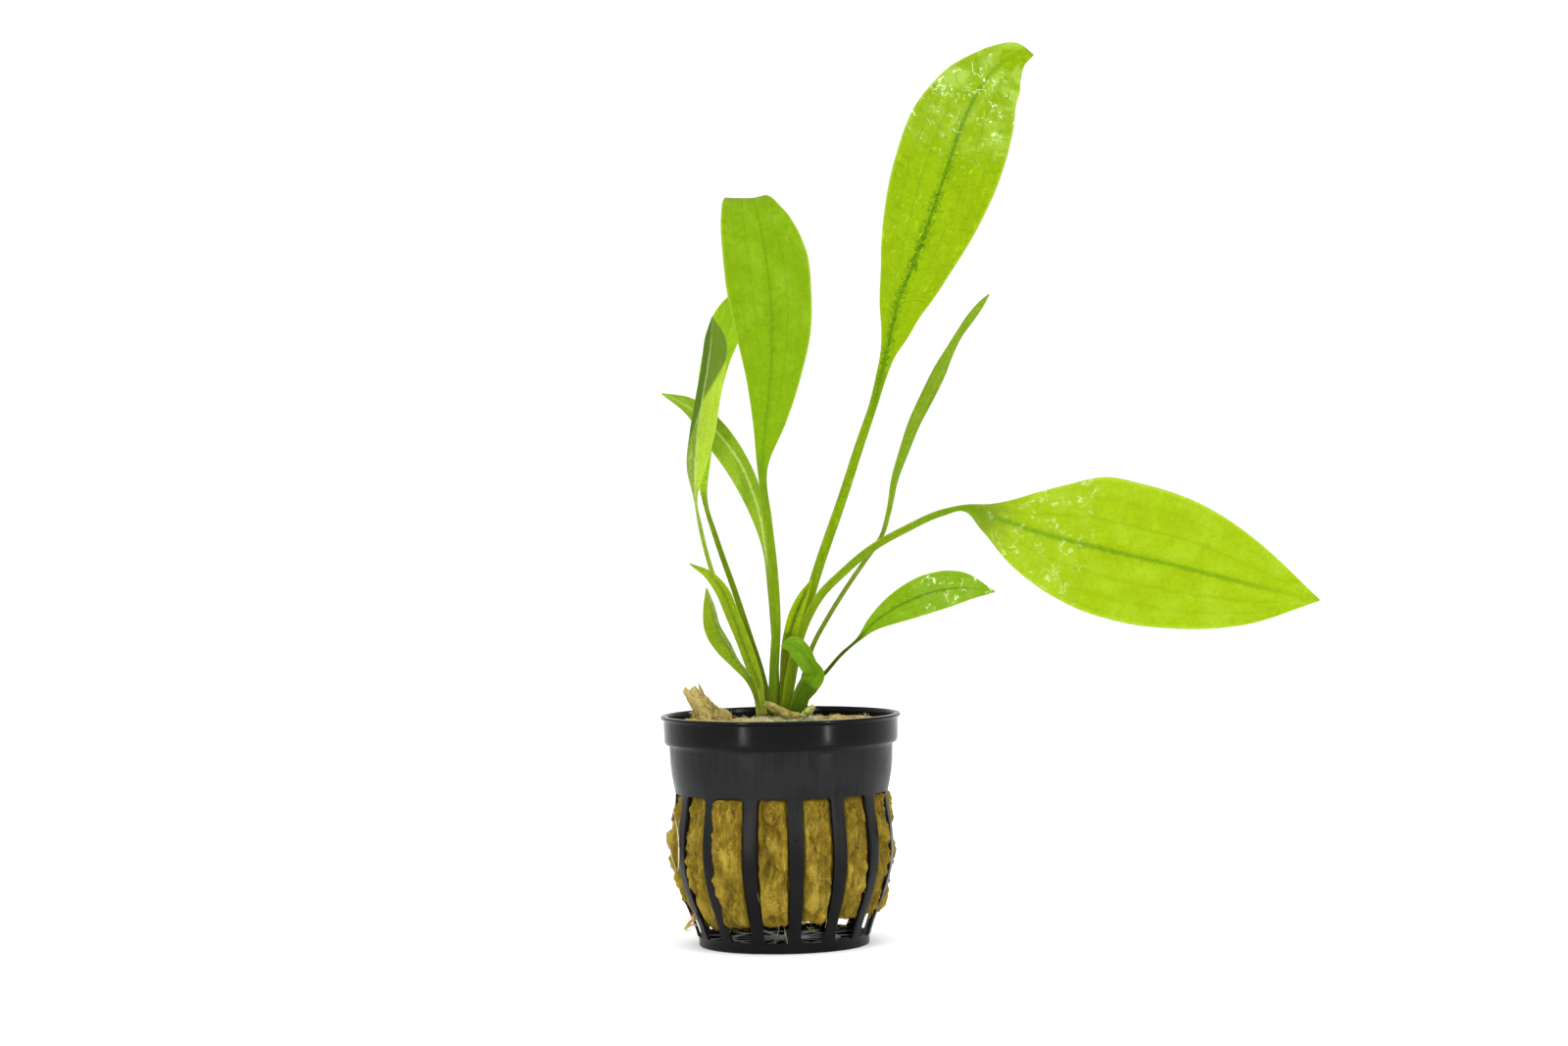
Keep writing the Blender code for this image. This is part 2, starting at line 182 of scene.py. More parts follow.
def tube_faces(rings: int, sides: int) -> list:
    """The faces of a closed tube of rings, capped at both ends.

    Args:
        rings: how many rings there are.
        sides: how many points each ring has.

    Returns:
        Tuples of point numbers, where ring i starts at point i * sides.
    """
    faces = [
        (i * sides + j, i * sides + (j + 1) % sides, (i + 1) * sides + (j + 1) % sides, (i + 1) * sides + j)
        for i in range(rings - 1)
        for j in range(sides)
    ]
    last = (rings - 1) * sides
    return [*faces, tuple(range(sides))[::-1], tuple(range(last, last + sides))]


def lumps(points: np.ndarray, size: float, octaves: int = 4, seed: float = 0.0) -> np.ndarray:
    """Fractal noise about 0 at each point.

    Args:
        points: rows of x, y, z.
        size: the largest lump's size, in the points' unit.
        octaves: how many finer layers it has.
        seed: moves the pattern.

    Returns:
        One number for each point, mostly within 1 of 0.
    """
    shift = Vector((seed, seed * 1.7, -seed))
    return np.array([noise.fractal(Vector(p) / size + shift, 0.6, 2.1, octaves) for p in points])


def strands(name: str, paths: np.ndarray, radii: np.ndarray,
            finish: bpy.types.Material) -> bpy.types.Object:
    """Makes many thin tapering strands as one mesh.

    Args:
        name: the piece's name.
        paths: strands by points by x, y, z, in millimetres.
        radii: each strand's radius at its thickest.
        finish: their material.

    Returns:
        The new object, with three-sided strands.
    """
    count, steps, _ = paths.shape
    along = unit(np.gradient(paths, axis=1) + 1e-9)
    side = unit(np.cross(along, (0.31, 0.17, 0.93)))
    other = np.cross(along, side)
    taper = np.sin(np.linspace(0.35, math.pi - 0.15, steps)) ** 0.6
    reach = (radii[:, None] * taper)[:, :, None]
    turns = [0, FULL_TURN / 3, 2 * FULL_TURN / 3]
    rings = np.stack([paths + reach * (math.cos(a) * side + math.sin(a) * other) for a in turns], axis=2)
    faces = []
    one = tube_faces(steps, 3)
    for start in range(0, count * steps * 3, steps * 3):
        faces += [tuple(corner + start for corner in face) for face in one]
    return mesh_piece(name, rings.reshape(-1, 3), faces, finish)


# ---- finishes


class Wire:
    """One output of a material's node, which adds, subtracts and multiplies by adding nodes."""

    def __init__(self, graph: "Graph", socket: bpy.types.NodeSocket) -> None:
        """Holds the socket and the graph that it is in."""
        self.graph, self.socket = graph, socket

    def __add__(self, other: object) -> "Wire":
        """The sum with a wire or a number."""
        return self.graph.math("ADD", self, other)

    def __sub__(self, other: object) -> "Wire":
        """The difference from a wire or a number."""
        return self.graph.math("SUBTRACT", self, other)

    def __mul__(self, other: object) -> "Wire":
        """The product with a wire or a number."""
        return self.graph.math("MULTIPLY", self, other)

    def __abs__(self) -> "Wire":
        """The value without its sign."""
        return self.graph.math("ABSOLUTE", self)


class Graph:
    """A material's node tree, with short calls for what the finishes have in common."""

    def __init__(self, name: str) -> None:
        """Starts a material that holds one Principled shader."""
        self.material = bpy.data.materials.new(name)
        self.material.use_nodes = True
        self.tree = self.material.node_tree
        self.shader = self.tree.nodes["Principled BSDF"]

    def plug(self, socket: bpy.types.NodeSocket, value: object) -> None:
        """Links a wire to an input, or sets the input to a value."""
        if isinstance(value, Wire):
            self.tree.links.new(value.socket, socket)
        else:
            socket.default_value = value

    def feed(self, node: bpy.types.Node, **inputs: object) -> bpy.types.Node:
        """Fills a node's inputs.

        Args:
            node: the node to fill.
            inputs: a wire or a value, by the input's name with _ for a space.

        Returns:
            The same node.
        """
        for key, value in inputs.items():
            self.plug(node.inputs[key.replace("_", " ")], value)
        return node

    def node(self, kind: str, **settings: object) -> bpy.types.Node:
        """Adds a node of a kind such as TexNoise, with its own settings."""
        made = self.tree.nodes.new(f"ShaderNode{kind}")
        for key, value in settings.items():
            setattr(made, key, value)
        return made

    def wire(self, node: bpy.types.Node, output: object = 0, **inputs: object) -> Wire:
        """Fills a node's inputs and gives one of its outputs, by name or number."""
        return Wire(self, self.feed(node, **inputs).outputs[output])

    def stored(self, name: str, output: str) -> Wire:
        """The number or the vector that the mesh stores under a name."""
        return self.wire(self.node("Attribute", attribute_name=name), output)

    def part(self, vector: Wire, axis: str) -> Wire:
        """A vector's X, Y or Z."""
        return self.wire(self.node("SeparateXYZ"), axis, Vector=vector)

    def object_space(self, scale: Point = (1, 1, 1)) -> Wire:
        """The point on the piece in metres, stretched by a scale along each axis."""
        place = self.wire(self.node("TexCoord"), "Object")
        return self.wire(self.node("Mapping"), "Vector", Vector=place, Scale=scale)

    def noise(self, vector: Wire, scale: float, detail: float = 4, twist: float = 0) -> Wire:
        """A noise value about 0.5."""
        made = self.node("TexNoise")
        return self.wire(made, "Fac", Vector=vector, Scale=scale, Detail=detail, Distortion=twist)

    def cells(self, vector: Wire, scale: float, feature: str = "DISTANCE_TO_EDGE") -> Wire:
        """The distance to the edge, or to the middle, of a random cell."""
        return self.wire(self.node("TexVoronoi", feature=feature), "Distance", Vector=vector, Scale=scale)

    def math(self, operation: str, *values: object) -> Wire:
        """One arithmetic step on wires or numbers."""
        made = self.node("Math", operation=operation)
        for socket, value in zip(made.inputs, values):
            self.plug(socket, value)
        return self.wire(made)

    def most(self, *values: Wire) -> Wire:
        """The largest of some wires."""
        first, *others = values
        for other in others:
            first = self.math("MAXIMUM", first, other)
        return first

    def range(self, value: Wire, low: float, high: float, start: float = 0, end: float = 1) -> Wire:
        """A smooth step of a value from low to high, as start to end."""
        made = self.node("MapRange", interpolation_type="SMOOTHSTEP")
        return self.wire(made, "Result", Value=value, From_Min=low, From_Max=high, To_Min=start, To_Max=end)

    def ramp(self, value: Wire, *stops: tuple) -> Wire:
        """A colour ramp through (position, colour) stops."""
        made = self.feed(self.node("ValToRGB"), Fac=value)
        elements = made.color_ramp.elements
        while len(elements) < len(stops):
            elements.new(0.5)
        for element, (position, colour) in zip(elements, stops):
            element.position = position
            element.color = (*colour, 1)
        return self.wire(made, "Color")

    def mix(self, share: Wire, first: object, second: object, kind: str = "MIX") -> Wire:
        """Two colours mixed by a share from 0 to 1."""
        made = self.node("Mix", data_type="RGBA", blend_type=kind)
        self.plug(made.inputs[0], share)
        for number, colour in ((6, first), (7, second)):
            self.plug(made.inputs[number], colour if isinstance(colour, Wire) else (*colour, 1))
        return self.wire(made, 2)

    def bump(self, height: Wire, distance_mm: float, strength: float = 1.0,
             under: Wire | None = None) -> Wire:
        """A normal from a height, over an earlier normal if there is one."""
        over = {"Normal": under} if under else {}
        made = self.feed(self.node("Bump"), Height=height, Distance=distance_mm * MM, Strength=strength)
        return self.wire(made, "Normal", **over)


@dataclass(frozen=True)
class PlasticFinish:
    """Black moulded plastic: dusty on its band, damp and darker at its collar and foot, and marked."""

    name: str = "black_pot_plastic"
    damp: Colour = (0.0012, 0.0013, 0.0014)
    dusty: Colour = (0.0095, 0.0099, 0.0101)
    mark: Colour = (0.0008, 0.0008, 0.0008)
    collar_foot_m: float = 0.0438
    band_foot_m: float = 0.031

    def material(self) -> bpy.types.Material:
        """The material."""
        g = Graph(self.name)
        place = g.object_space()
        height = g.part(place, "Z")
        broad = g.noise(place, 110, 5, 0.4)
        streak = g.noise(g.object_space((1, 1, 0.1)), 900, 3)
        speck = g.range(g.cells(place, 260, "F1"), 0.05, 0.11, 1, 0) * g.range(broad, 0.5, 0.56)
        collar, foot = self.collar_foot_m, self.band_foot_m
        band = g.range(height, collar, collar + 0.0004, 1, 0) * g.range(height, foot - 0.012, foot, 0.25, 1)
        dust = band * g.range(broad + streak, 0.75, 1.25, 0.55, 1.0) + g.range(broad, 0.55, 0.7) * 0.15
        colour = g.mix(speck, g.mix(dust, self.damp, self.dusty), self.mark)
        rough = g.range(broad + streak * 0.3, 0.45, 0.85, 0.15, 0.26) + dust * 0.16
        rough = rough + g.range(height, foot, foot + 0.004, 0.12, 0)
        normal = g.bump(g.noise(place, 5200, 2), 0.012, 0.3)
        normal = g.bump(g.noise(place, 300, 3), 0.10, 0.2, normal)
        normal = g.bump(speck, 0.12, 0.8, normal)
        g.feed(g.shader, Base_Color=colour, Roughness=rough, Normal=normal)
        g.feed(g.shader, IOR=1.49, Specular_IOR_Level=0.10)
        return g.material


@dataclass(frozen=True)
class WoolFinish:
    """Matted mineral wool: olive tan, with painted shade darkening its hollows, browned in places and dry
    on top.
    """

    name: str = "matted_wool"
    dark: Colour = (0.062, 0.039, 0.003)
    middle: Colour = (0.172, 0.119, 0.011)
    light: Colour = (0.37, 0.270, 0.037)
    brown: Colour = (0.72, 0.60, 0.50)
    dry: Colour = (0.46, 0.37, 0.13)
    dry_from_m: float = 0.0462

    def material(self) -> bpy.types.Material:
        """The material, which paints shade into the hollows from how far the surface stands out of the wool
        round it.
        """
        g = Graph(self.name)
        place = g.object_space()
        broad = g.noise(place, 95, 3, 0.5)
        clump = g.noise(g.object_space((1, 1, 0.30)), 520, 4, 1.0)
        thread = g.noise(g.object_space((1, 1, 0.14)), 2300, 4, 2.2)
        cross = g.noise(g.object_space((0.35, 0.35, 1.0)), 1900, 4, 3.2)
        # Painted shade: the wool turns darker where its surface sinks below the wool round it.
        painted_hollow_shade = g.range(g.stored("wool_depth", "Fac"), -0.7, 1.2, -0.08, 0.08)
        shade = broad * 0.35 + clump * 0.25 + thread * 0.22 + cross * 0.18 + painted_hollow_shade
        colour = g.ramp(shade, (0.30, self.dark), (0.48, self.middle), (0.68, self.light))
        brown = g.range(g.noise(g.object_space((1, 1, 0.5)), 170, 5, 1.6), 0.50, 0.66, 0, 0.6)
        colour = g.mix(brown, colour, self.brown, "MULTIPLY")
        dry = g.range(g.part(place, "Z"), self.dry_from_m, self.dry_from_m + 0.0018)
        colour = g.mix(dry * g.range(clump, 0.35, 0.6, 0.25, 0.9), colour, self.dry)
        normal = g.bump(clump, 0.9, 0.8, g.bump(thread + cross, 0.30, 0.8))
        rough = g.range(clump, 0.3, 0.7, 0.8, 1.0)
        g.feed(g.shader, Base_Color=colour, Roughness=rough, Normal=normal, Specular_IOR_Level=0.05)
        return g.material


@dataclass(frozen=True)
class StrandFinish:
    """Fine fibres, roots and dry shreds: pale, uneven along their length and a little glossy."""

    name: str
    dark: Colour
    light: Colour
    rough: float = 0.8

    def material(self) -> bpy.types.Material:
        """The material."""
        g = Graph(self.name)
        place = g.object_space()
        colour = g.ramp(g.noise(place, 420, 4, 0.5), (0.35, self.dark), (0.65, self.light))
        normal = g.bump(g.noise(place, 3000, 3), 0.05, 0.4)
        g.feed(g.shader, Base_Color=colour, Roughness=self.rough, Normal=normal)
        return g.material


class LeafPlace:
    """Where a point is on its leaf, and the noises that its finish shares, as wires."""

    def __init__(self, g: Graph) -> None:
        """Reads what the leaf's mesh stores: across and signed run from its right to its left margin.

        Args:
            g: the material's nodes.
        """
        place = g.stored("leaf_place", "Vector")
        self.across, self.share, self.run = (g.part(place, axis) for axis in "XYZ")
        signed = g.stored("leaf_out", "Fac")
        self.out, self.aside = abs(signed), abs(self.across)
        self.flat = g.wire(g.node("CombineXYZ"), X=signed, Y=self.run)
        drawn = g.wire(g.node("CombineXYZ"), X=signed, Y=self.run * 0.26)
        self.wander = g.noise(self.flat, 0.35, 3)
        self.patch = g.noise(self.flat, 0.17, 3, 0.3)
        self.mottle = g.noise(self.flat, 0.9, 5, 0.8)
        self.streak = g.noise(drawn, 1.35, 4, 0.6)


def scaled(colour: Colour, share: float) -> Colour:
    """A darker or lighter version of a colour."""
    return tuple(part * share for part in colour)


def towards(first: Colour, second: Colour, share: float) -> Colour:
    """A colour between two."""
    return tuple(a + (b - a) * share for a, b in zip(first, second))


@dataclass(frozen=True)
class LeafFinish:
    """A leaf from foot to tip: veins, fine cells, flecks, wet patches, painted highlights and shade, and
    light shining through.

    rib is the midrib's colour and rib_share how strongly it shows. speckle is how dark the dots along
    the midrib and stalk are, flecks is how strong the pale streaks between the cells are, ladder is how
    strongly the cross veins show, and pale is how strong the smooth pale blotches are from pale_from up.
    fold is the share of the blade that painted shade keeps dull and dark where its foot folds. wet is the
    stretch of the blade that carries the wet film and its broken streaks of painted highlight, damp how
    strong both are and soft how blurred the streaks are. shade dulls one half of the blade: the left one
    above 0 and the right one below 0. dim is the share of the blade above which painted shadow turns it
    dark. through is the share of the light that shines through.
    """

    name: str
    blade: Colour
    stalk: Colour
    foot: Colour
    rib: Colour = (0.10, 0.24, 0.002)
    rib_share: float = 0.6
    rib_width: float = 0.7
    speckle: float = 0.3
    flecks: float = 0.3
    ladder: float = 0.35
    pale: float = 0.3
    pale_from: float = 0.0
    fold_shade_reach: float = 0.0
    shadow_above: float = 1.0
    wet: tuple = (0.5, 0.95)
    soft: float = 0.0
    damp: float = 0.0
    shade: float = 0.0
    edge: Colour = (0.45, 0.60, 0.06)
    through: float = 0.45
    sunlit: Colour = (0.60, 0.76, 0.05)
    blotch: Colour = (0.50, 0.70, 0.13)
    greys: tuple = ((0.20, 0.30, 0.070), (0.42, 0.52, 0.20))
    # The painted shadow's colour, laid over the blade above the share dim.
    shadow_colour: Colour = (0.10, 0.19, 0.020)
    # folded is the painted shade colour that the folded foot is darkened towards.
    folded: Colour = (0.14, 0.22, 0.04)
    dot: Colour = (0.06, 0.14, 0.002)
    # glint is the painted highlight colour along the wet film's wrinkles.
    glint: Colour = (0.90, 0.97, 0.62)
    # Each long side vein's place from the midrib to the margin, its width and its strength.
    side_veins: tuple = ((0.40, 0.05, 0.32), (0.70, 0.06, 0.22))

    def material(self) -> bpy.types.Material:
        """The material."""
        g = Graph(self.name)
        on = LeafPlace(g)
        veins = self.veins(g, on)
        blade = g.mix(veins, self.blade_colour(g, on), scaled(self.blade, 0.58))
        blade = g.mix(g.range(on.aside, 0.93, 1.0, 0, 0.5), blade, self.edge)
        colour = g.mix(g.range(on.share, -0.02, 0.08), self.stalk_colour(g, on), blade)
        rib = g.range(on.out + on.mottle * 0.5, 0.3, 0.3 + self.rib_width, 1, 0)
        rib = rib * g.range(on.share, 0.7, 1.0, self.rib_share, 0.2 * self.rib_share)
        colour = g.mix(rib * g.range(on.share, -0.2, 0.02), colour, self.rib)
        colour = g.mix(self.dots(g, on), colour, self.dot)
        film, line = self.wet_film_and_painted_glints(g, on)
        # Painted highlight: the glint colour laid along the wet film's wrinkles.
        colour = g.mix(line, colour, self.glint)
        rough = g.range(on.mottle, 0.3, 0.7, 0.40, 0.52) - film * 0.22
        normal = g.bump(veins * -0.6 + on.streak * 0.5, 0.22, 0.6)
        ripple = g.bump(g.noise(on.flat, 0.7, 2, 1.0), 0.6, 0.6, normal)
        g.feed(g.shader, Base_Color=colour, Roughness=rough, Normal=normal, Specular_IOR_Level=0.06)
        g.feed(g.shader, Coat_Weight=film, Coat_Normal=ripple, Coat_Roughness=0.1, Coat_IOR=1.33)

        light = g.wire(g.node("BsdfTranslucent"), Color=colour, Normal=normal)
        join = g.node("MixShader")
        for socket, value in zip(join.inputs, (self.through, Wire(g, g.shader.outputs[0]), light)):
            g.plug(socket, value)
        g.feed(g.tree.nodes["Material Output"], Surface=g.wire(join))
        return g.material

    def blade_colour(self, g: Graph, on: LeafPlace) -> Wire:
        """The blade's colour before its veins: mottled, flecked and blotched, with painted shade on its
        dull stretches.
        """
        bright = towards(self.blade, self.sunlit, 0.45)
        tone = on.mottle * 0.55 + on.patch * 0.45
        colour = g.ramp(tone, (0.30, scaled(self.blade, 0.84)), (0.55, self.blade), (0.95, bright))
        fleck = g.range(on.streak, 0.56, 0.70) * self.flecks * g.range(on.share, 0.12, 0.3)
        colour = g.mix(fleck * g.range(on.mottle, 0.35, 0.6), colour, bright)
        blotch = g.range(on.patch, 0.44, 0.66)
        blotch = blotch * g.range(on.share, self.pale_from, self.pale_from + 0.12, 0, self.pale)
        colour = g.mix(blotch * g.range(on.out, 0.5, 2.0), colour, towards(self.blade, self.blotch, 0.45))
        if self.shade:
            side = g.range(on.across * self.shade, 0.02, 0.2, 0, 0.75)
            colour = g.mix(side, colour, g.mix(g.range(on.streak, 0.48, 0.66, 0, 0.7), *self.greys))
        # Painted shadow: above the share dim the blade turns dark.
        if self.shadow_above < 1:
            level = on.share + on.across * 0.25
            colour = g.mix(g.range(level, self.shadow_above, self.shadow_above + 0.05, 0, 0.85), colour, self.shadow_colour)
        # Painted shade: the blade's folded foot stays dull and dark.
        if self.fold_shade_reach:
            dull = g.range(on.share + on.wander * 0.12, self.fold_shade_reach, self.fold_shade_reach + 0.12, 0.8, 0)
            colour = g.mix(dull, colour, towards(scaled(self.blade, 0.5), self.folded, 0.4))
        return colour

    def stalk_colour(self, g: Graph, on: LeafPlace) -> Wire:
        """The stalk's colour: its foot's tone, long streaks and paler sides."""
        colour = g.ramp(on.share + 1, (0.0, self.foot), (0.45, self.stalk), (1.0, self.stalk))
        colour = g.mix(g.range(on.streak, 0.42, 0.62, 0.4, 0), colour, scaled(self.stalk, 0.5))
        return g.mix(g.range(on.aside, 0.55, 0.95, 0, 0.45), colour, towards(self.stalk, self.edge, 0.6))

    def veins(self, g: Graph, on: LeafPlace) -> Wire:
        """Where the long side veins, the cross veins and the fine net run: 0 off them, up to 1 on them."""
        bend = (on.wander - 0.5) * 0.12
        long = [
            g.range(abs(on.aside - at + bend), 0.0, width, top, 0) for at, width, top in self.side_veins
        ]
        slant = on.run + on.out * -0.45 + on.wander * 3.5
        rung = g.range(g.math("PINGPONG", slant, 1.35), 0.0, 0.3, self.ladder, 0)
        rung = rung * g.range(g.noise(on.flat, 0.6, 2), 0.40, 0.60)
        web = g.range(g.cells(on.flat, 1.3), 0.02, 0.14, 0.16, 0)
        return g.most(*long, rung, web) * g.range(on.out, 0.2, 1.0)

    def dots(self, g: Graph, on: LeafPlace) -> Wire:
        """Where dark dots crowd the midrib, and thinly the stalk."""
        net = g.range(g.cells(on.flat, 1.15), 0.02, 0.12, 1, 0)
        spots = g.range(g.cells(on.flat, 1.7, "F1"), 0.22, 0.42, 1, 0)
        dots = g.most(net * 0.8, spots) * g.range(g.noise(on.flat, 0.8, 3), 0.38, 0.55)
        dots = dots * g.range(on.out, 0.5, 1.9, self.speckle, 0) * g.range(on.share, -0.15, 0.05, 0.35, 1)
        return dots * g.range(on.share, 0.45, 0.8, 1, 0.1)

    def wet_film_and_painted_glints(self, g: Graph, on: LeafPlace) -> tuple[Wire, Wire]:
        """The wet film's weight, and the painted highlight: broken bright lines where the film wrinkles."""
        start, stop = self.wet
        zone = g.range(on.share, start - 0.08, start + 0.05) * g.range(on.share, stop, stop + 0.06, 1, 0)
        zone = zone * self.damp
        film = zone * g.range(on.patch, 0.40, 0.55, 0.25, 0.8)
        crinkle = abs(g.noise(on.flat, 0.34, 2, 1.3) - 0.5)
        soft = self.soft
        # Painted highlight lines, which widen into soft pale patches as soft grows.
        line = g.range(crinkle, 0.004 + 0.012 * soft, 0.020 + 0.05 * soft, 1 - 0.5 * soft, 0)
        line = line * g.range(g.noise(on.flat, 0.30, 3), 0.51, 0.57)
        line = line * g.range(g.noise(on.flat, 1.1, 2), 0.34, 0.48)
        return film, line * zone


# ---- leaves

TIP = 0.15
LEAF_FOOT = 50.0


@dataclass(frozen=True)
class LeafPlan:
    """A leaf's shape: its stalk, then its blade along the midrib.

    A stalk point is x, y, z. A blade point is x, y, z and how far the left and the right margin stand
    from the midrib, seen along the way that the leaf faces. radius is the stalk's at its foot and its
    top. lift is how far each margin comes forward for each millimetre that it stands out, so two
    positive values make a channel. wave is how far the margins swing in and out of the blade, and
    wave_length is how far apart those waves are.
    """

    node: str
    stalk: tuple
    radius: tuple
    blade: tuple
    lift: tuple = (0.2, 0.2)
    faces: Point = (0, -1, 0)
    wave: float = 0.25
    wave_length: float = 11.0


@dataclass(frozen=True)
class Leaf:
    """One leaf, stalk and blade in one piece."""

    slot: Slot
    plan: LeafPlan
    finish: LeafFinish
    half_thickness: float = 0.24
    ridge: float = 0.42
    sides: int = 48
    spans: int = 9
    side_veins: tuple = (0.36, 0.70)

    def stations(self) -> list:
        """Rows of x, y, z, left, right, half thickness, left lift and right lift from foot to tip."""
        plan = self.plan
        foot, top = plan.radius
        rows = []
        for i, point in enumerate(plan.stalk):
            radius = foot + (top - foot) * i / (len(plan.stalk) - 1)
            rows.append((*point, radius, radius, min(radius, 1.1), 0, 0))
        for i, (*point, left, right) in enumerate(plan.blade):
            half = min(0.8 * top, 0.9) if i == 0 else self.half_thickness
            share = min(i, 2) / 2
            rows.append((*point, left, right, half, plan.lift[0] * share, plan.lift[1] * share))
        return rows

    def build(self) -> None:
        """Builds the leaf's mesh with the places that its finish reads, and ties it to the frame."""
        plan = self.plan
        rows = smooth(self.stations(), self.spans)
        run = np.concatenate([[0], np.cumsum(np.linalg.norm(np.diff(rows[:, :3], axis=0), axis=1))])
        foot_run = run[len(plan.stalk) * self.spans]
        run = run - foot_run
        share = np.where(run > 0, run / run[-1], run / foot_run)[:, None]
        run = run[:, None]
        along = unit(np.gradient(rows[:, :3], axis=0))
        to_left = unit(np.cross(np.array(plan.faces, float), along))
        forward = np.cross(along, to_left)

        turn = FULL_TURN * np.arange(self.sides) / self.sides
        across, up = np.cos(turn)[None, :], np.sin(turn)[None, :]
        aside = np.abs(across)
        half_width = np.maximum(np.where(across > 0, rows[:, 3:4], rows[:, 4:5]), TIP)
        lift = np.where(across > 0, rows[:, 6:7], rows[:, 7:8])
        out = half_width * aside
        on_blade = ease(share, 0.0, 0.12)
        thick = np.maximum(rows[:, 5:6], 0.08) * (1 - 0.35 * on_blade * share)
        height = lift * out * (0.4 + 0.6 * aside) + up * thick
        height = height + self.relief(run, share, across, up, out)
        sideways = np.sign(across) * out
        points = rows[:, None, :3] + to_left[:, None] * sideways[:, :, None]
        points = points + forward[:, None] * height[:, :, None]
        stored = np.stack([np.broadcast_to(part, sideways.shape) for part in (across, share, run)], axis=2)
        faces = tube_faces(len(rows), self.sides)
        name = plan.node.replace("leaf_", "blade_")
        piece = mesh_piece(
            name, points.reshape(-1, 3), faces, self.finish.material(), leaf_place=stored, leaf_out=sideways
        )
        settle(piece, self.slot, plan.node)

    def relief(self, run: np.ndarray, share: np.ndarray, across: np.ndarray, up: np.ndarray,
               out: np.ndarray) -> np.ndarray:
        """How far the surface stands forward of a plain blade.

        Args:
            run: millimetres from the blade's foot, for each ring.
            share: the same as a share of the blade, below 0 on the stalk.
            across: -1 to 1 from the right to the left margin, for each side.
            up: 1 on the front face, -1 on the back face.
            out: millimetres from the midrib.

        Returns:
            Millimetres for each ring and side.
        """
        plan = self.plan
        on_blade = ease(share, 0.0, 0.12)
        aside = np.abs(across)
        narrow = np.clip(1 - share, 0, 1) ** 0.7
        back_ridge = -self.ridge * on_blade * narrow * bell(out, 0.75) * (up < 0)
        groove = -0.14 * on_blade * narrow * bell(out, 0.4) * (up > 0)
        veins = sum(bell(aside - place, 0.035) for place in self.side_veins)
        veins = -0.07 * on_blade * veins * ease(out, 0.3, 1.5)
        phase = np.where(across > 0, 0.0, 1.9)
        swing = np.sin(FULL_TURN * run / plan.wave_length + phase) + 0.5 * np.sin(
            FULL_TURN * run / (plan.wave_length * 0.43) + 2 * phase
        )
        fade = np.clip(np.sin(math.pi * np.clip(share, 0, 1)), 0, 1)
        waves = plan.wave * swing * aside**2.2 * fade * ease(out, 0.4, 3)
        quilt = 0.06 * np.sin(FULL_TURN * (run - 0.42 * out) / 3.4) * np.sin(math.pi * aside / 0.35) ** 2
        quilt = quilt * on_blade * fade * ease(out, 0.5, 2)
        stalk_groove = -0.45 * (1 - on_blade) * (up > 0) * up * bell(across, 0.45)
        return back_ridge + groove + veins + waves + quilt + stalk_groove * np.minimum(1, out + 0.6)


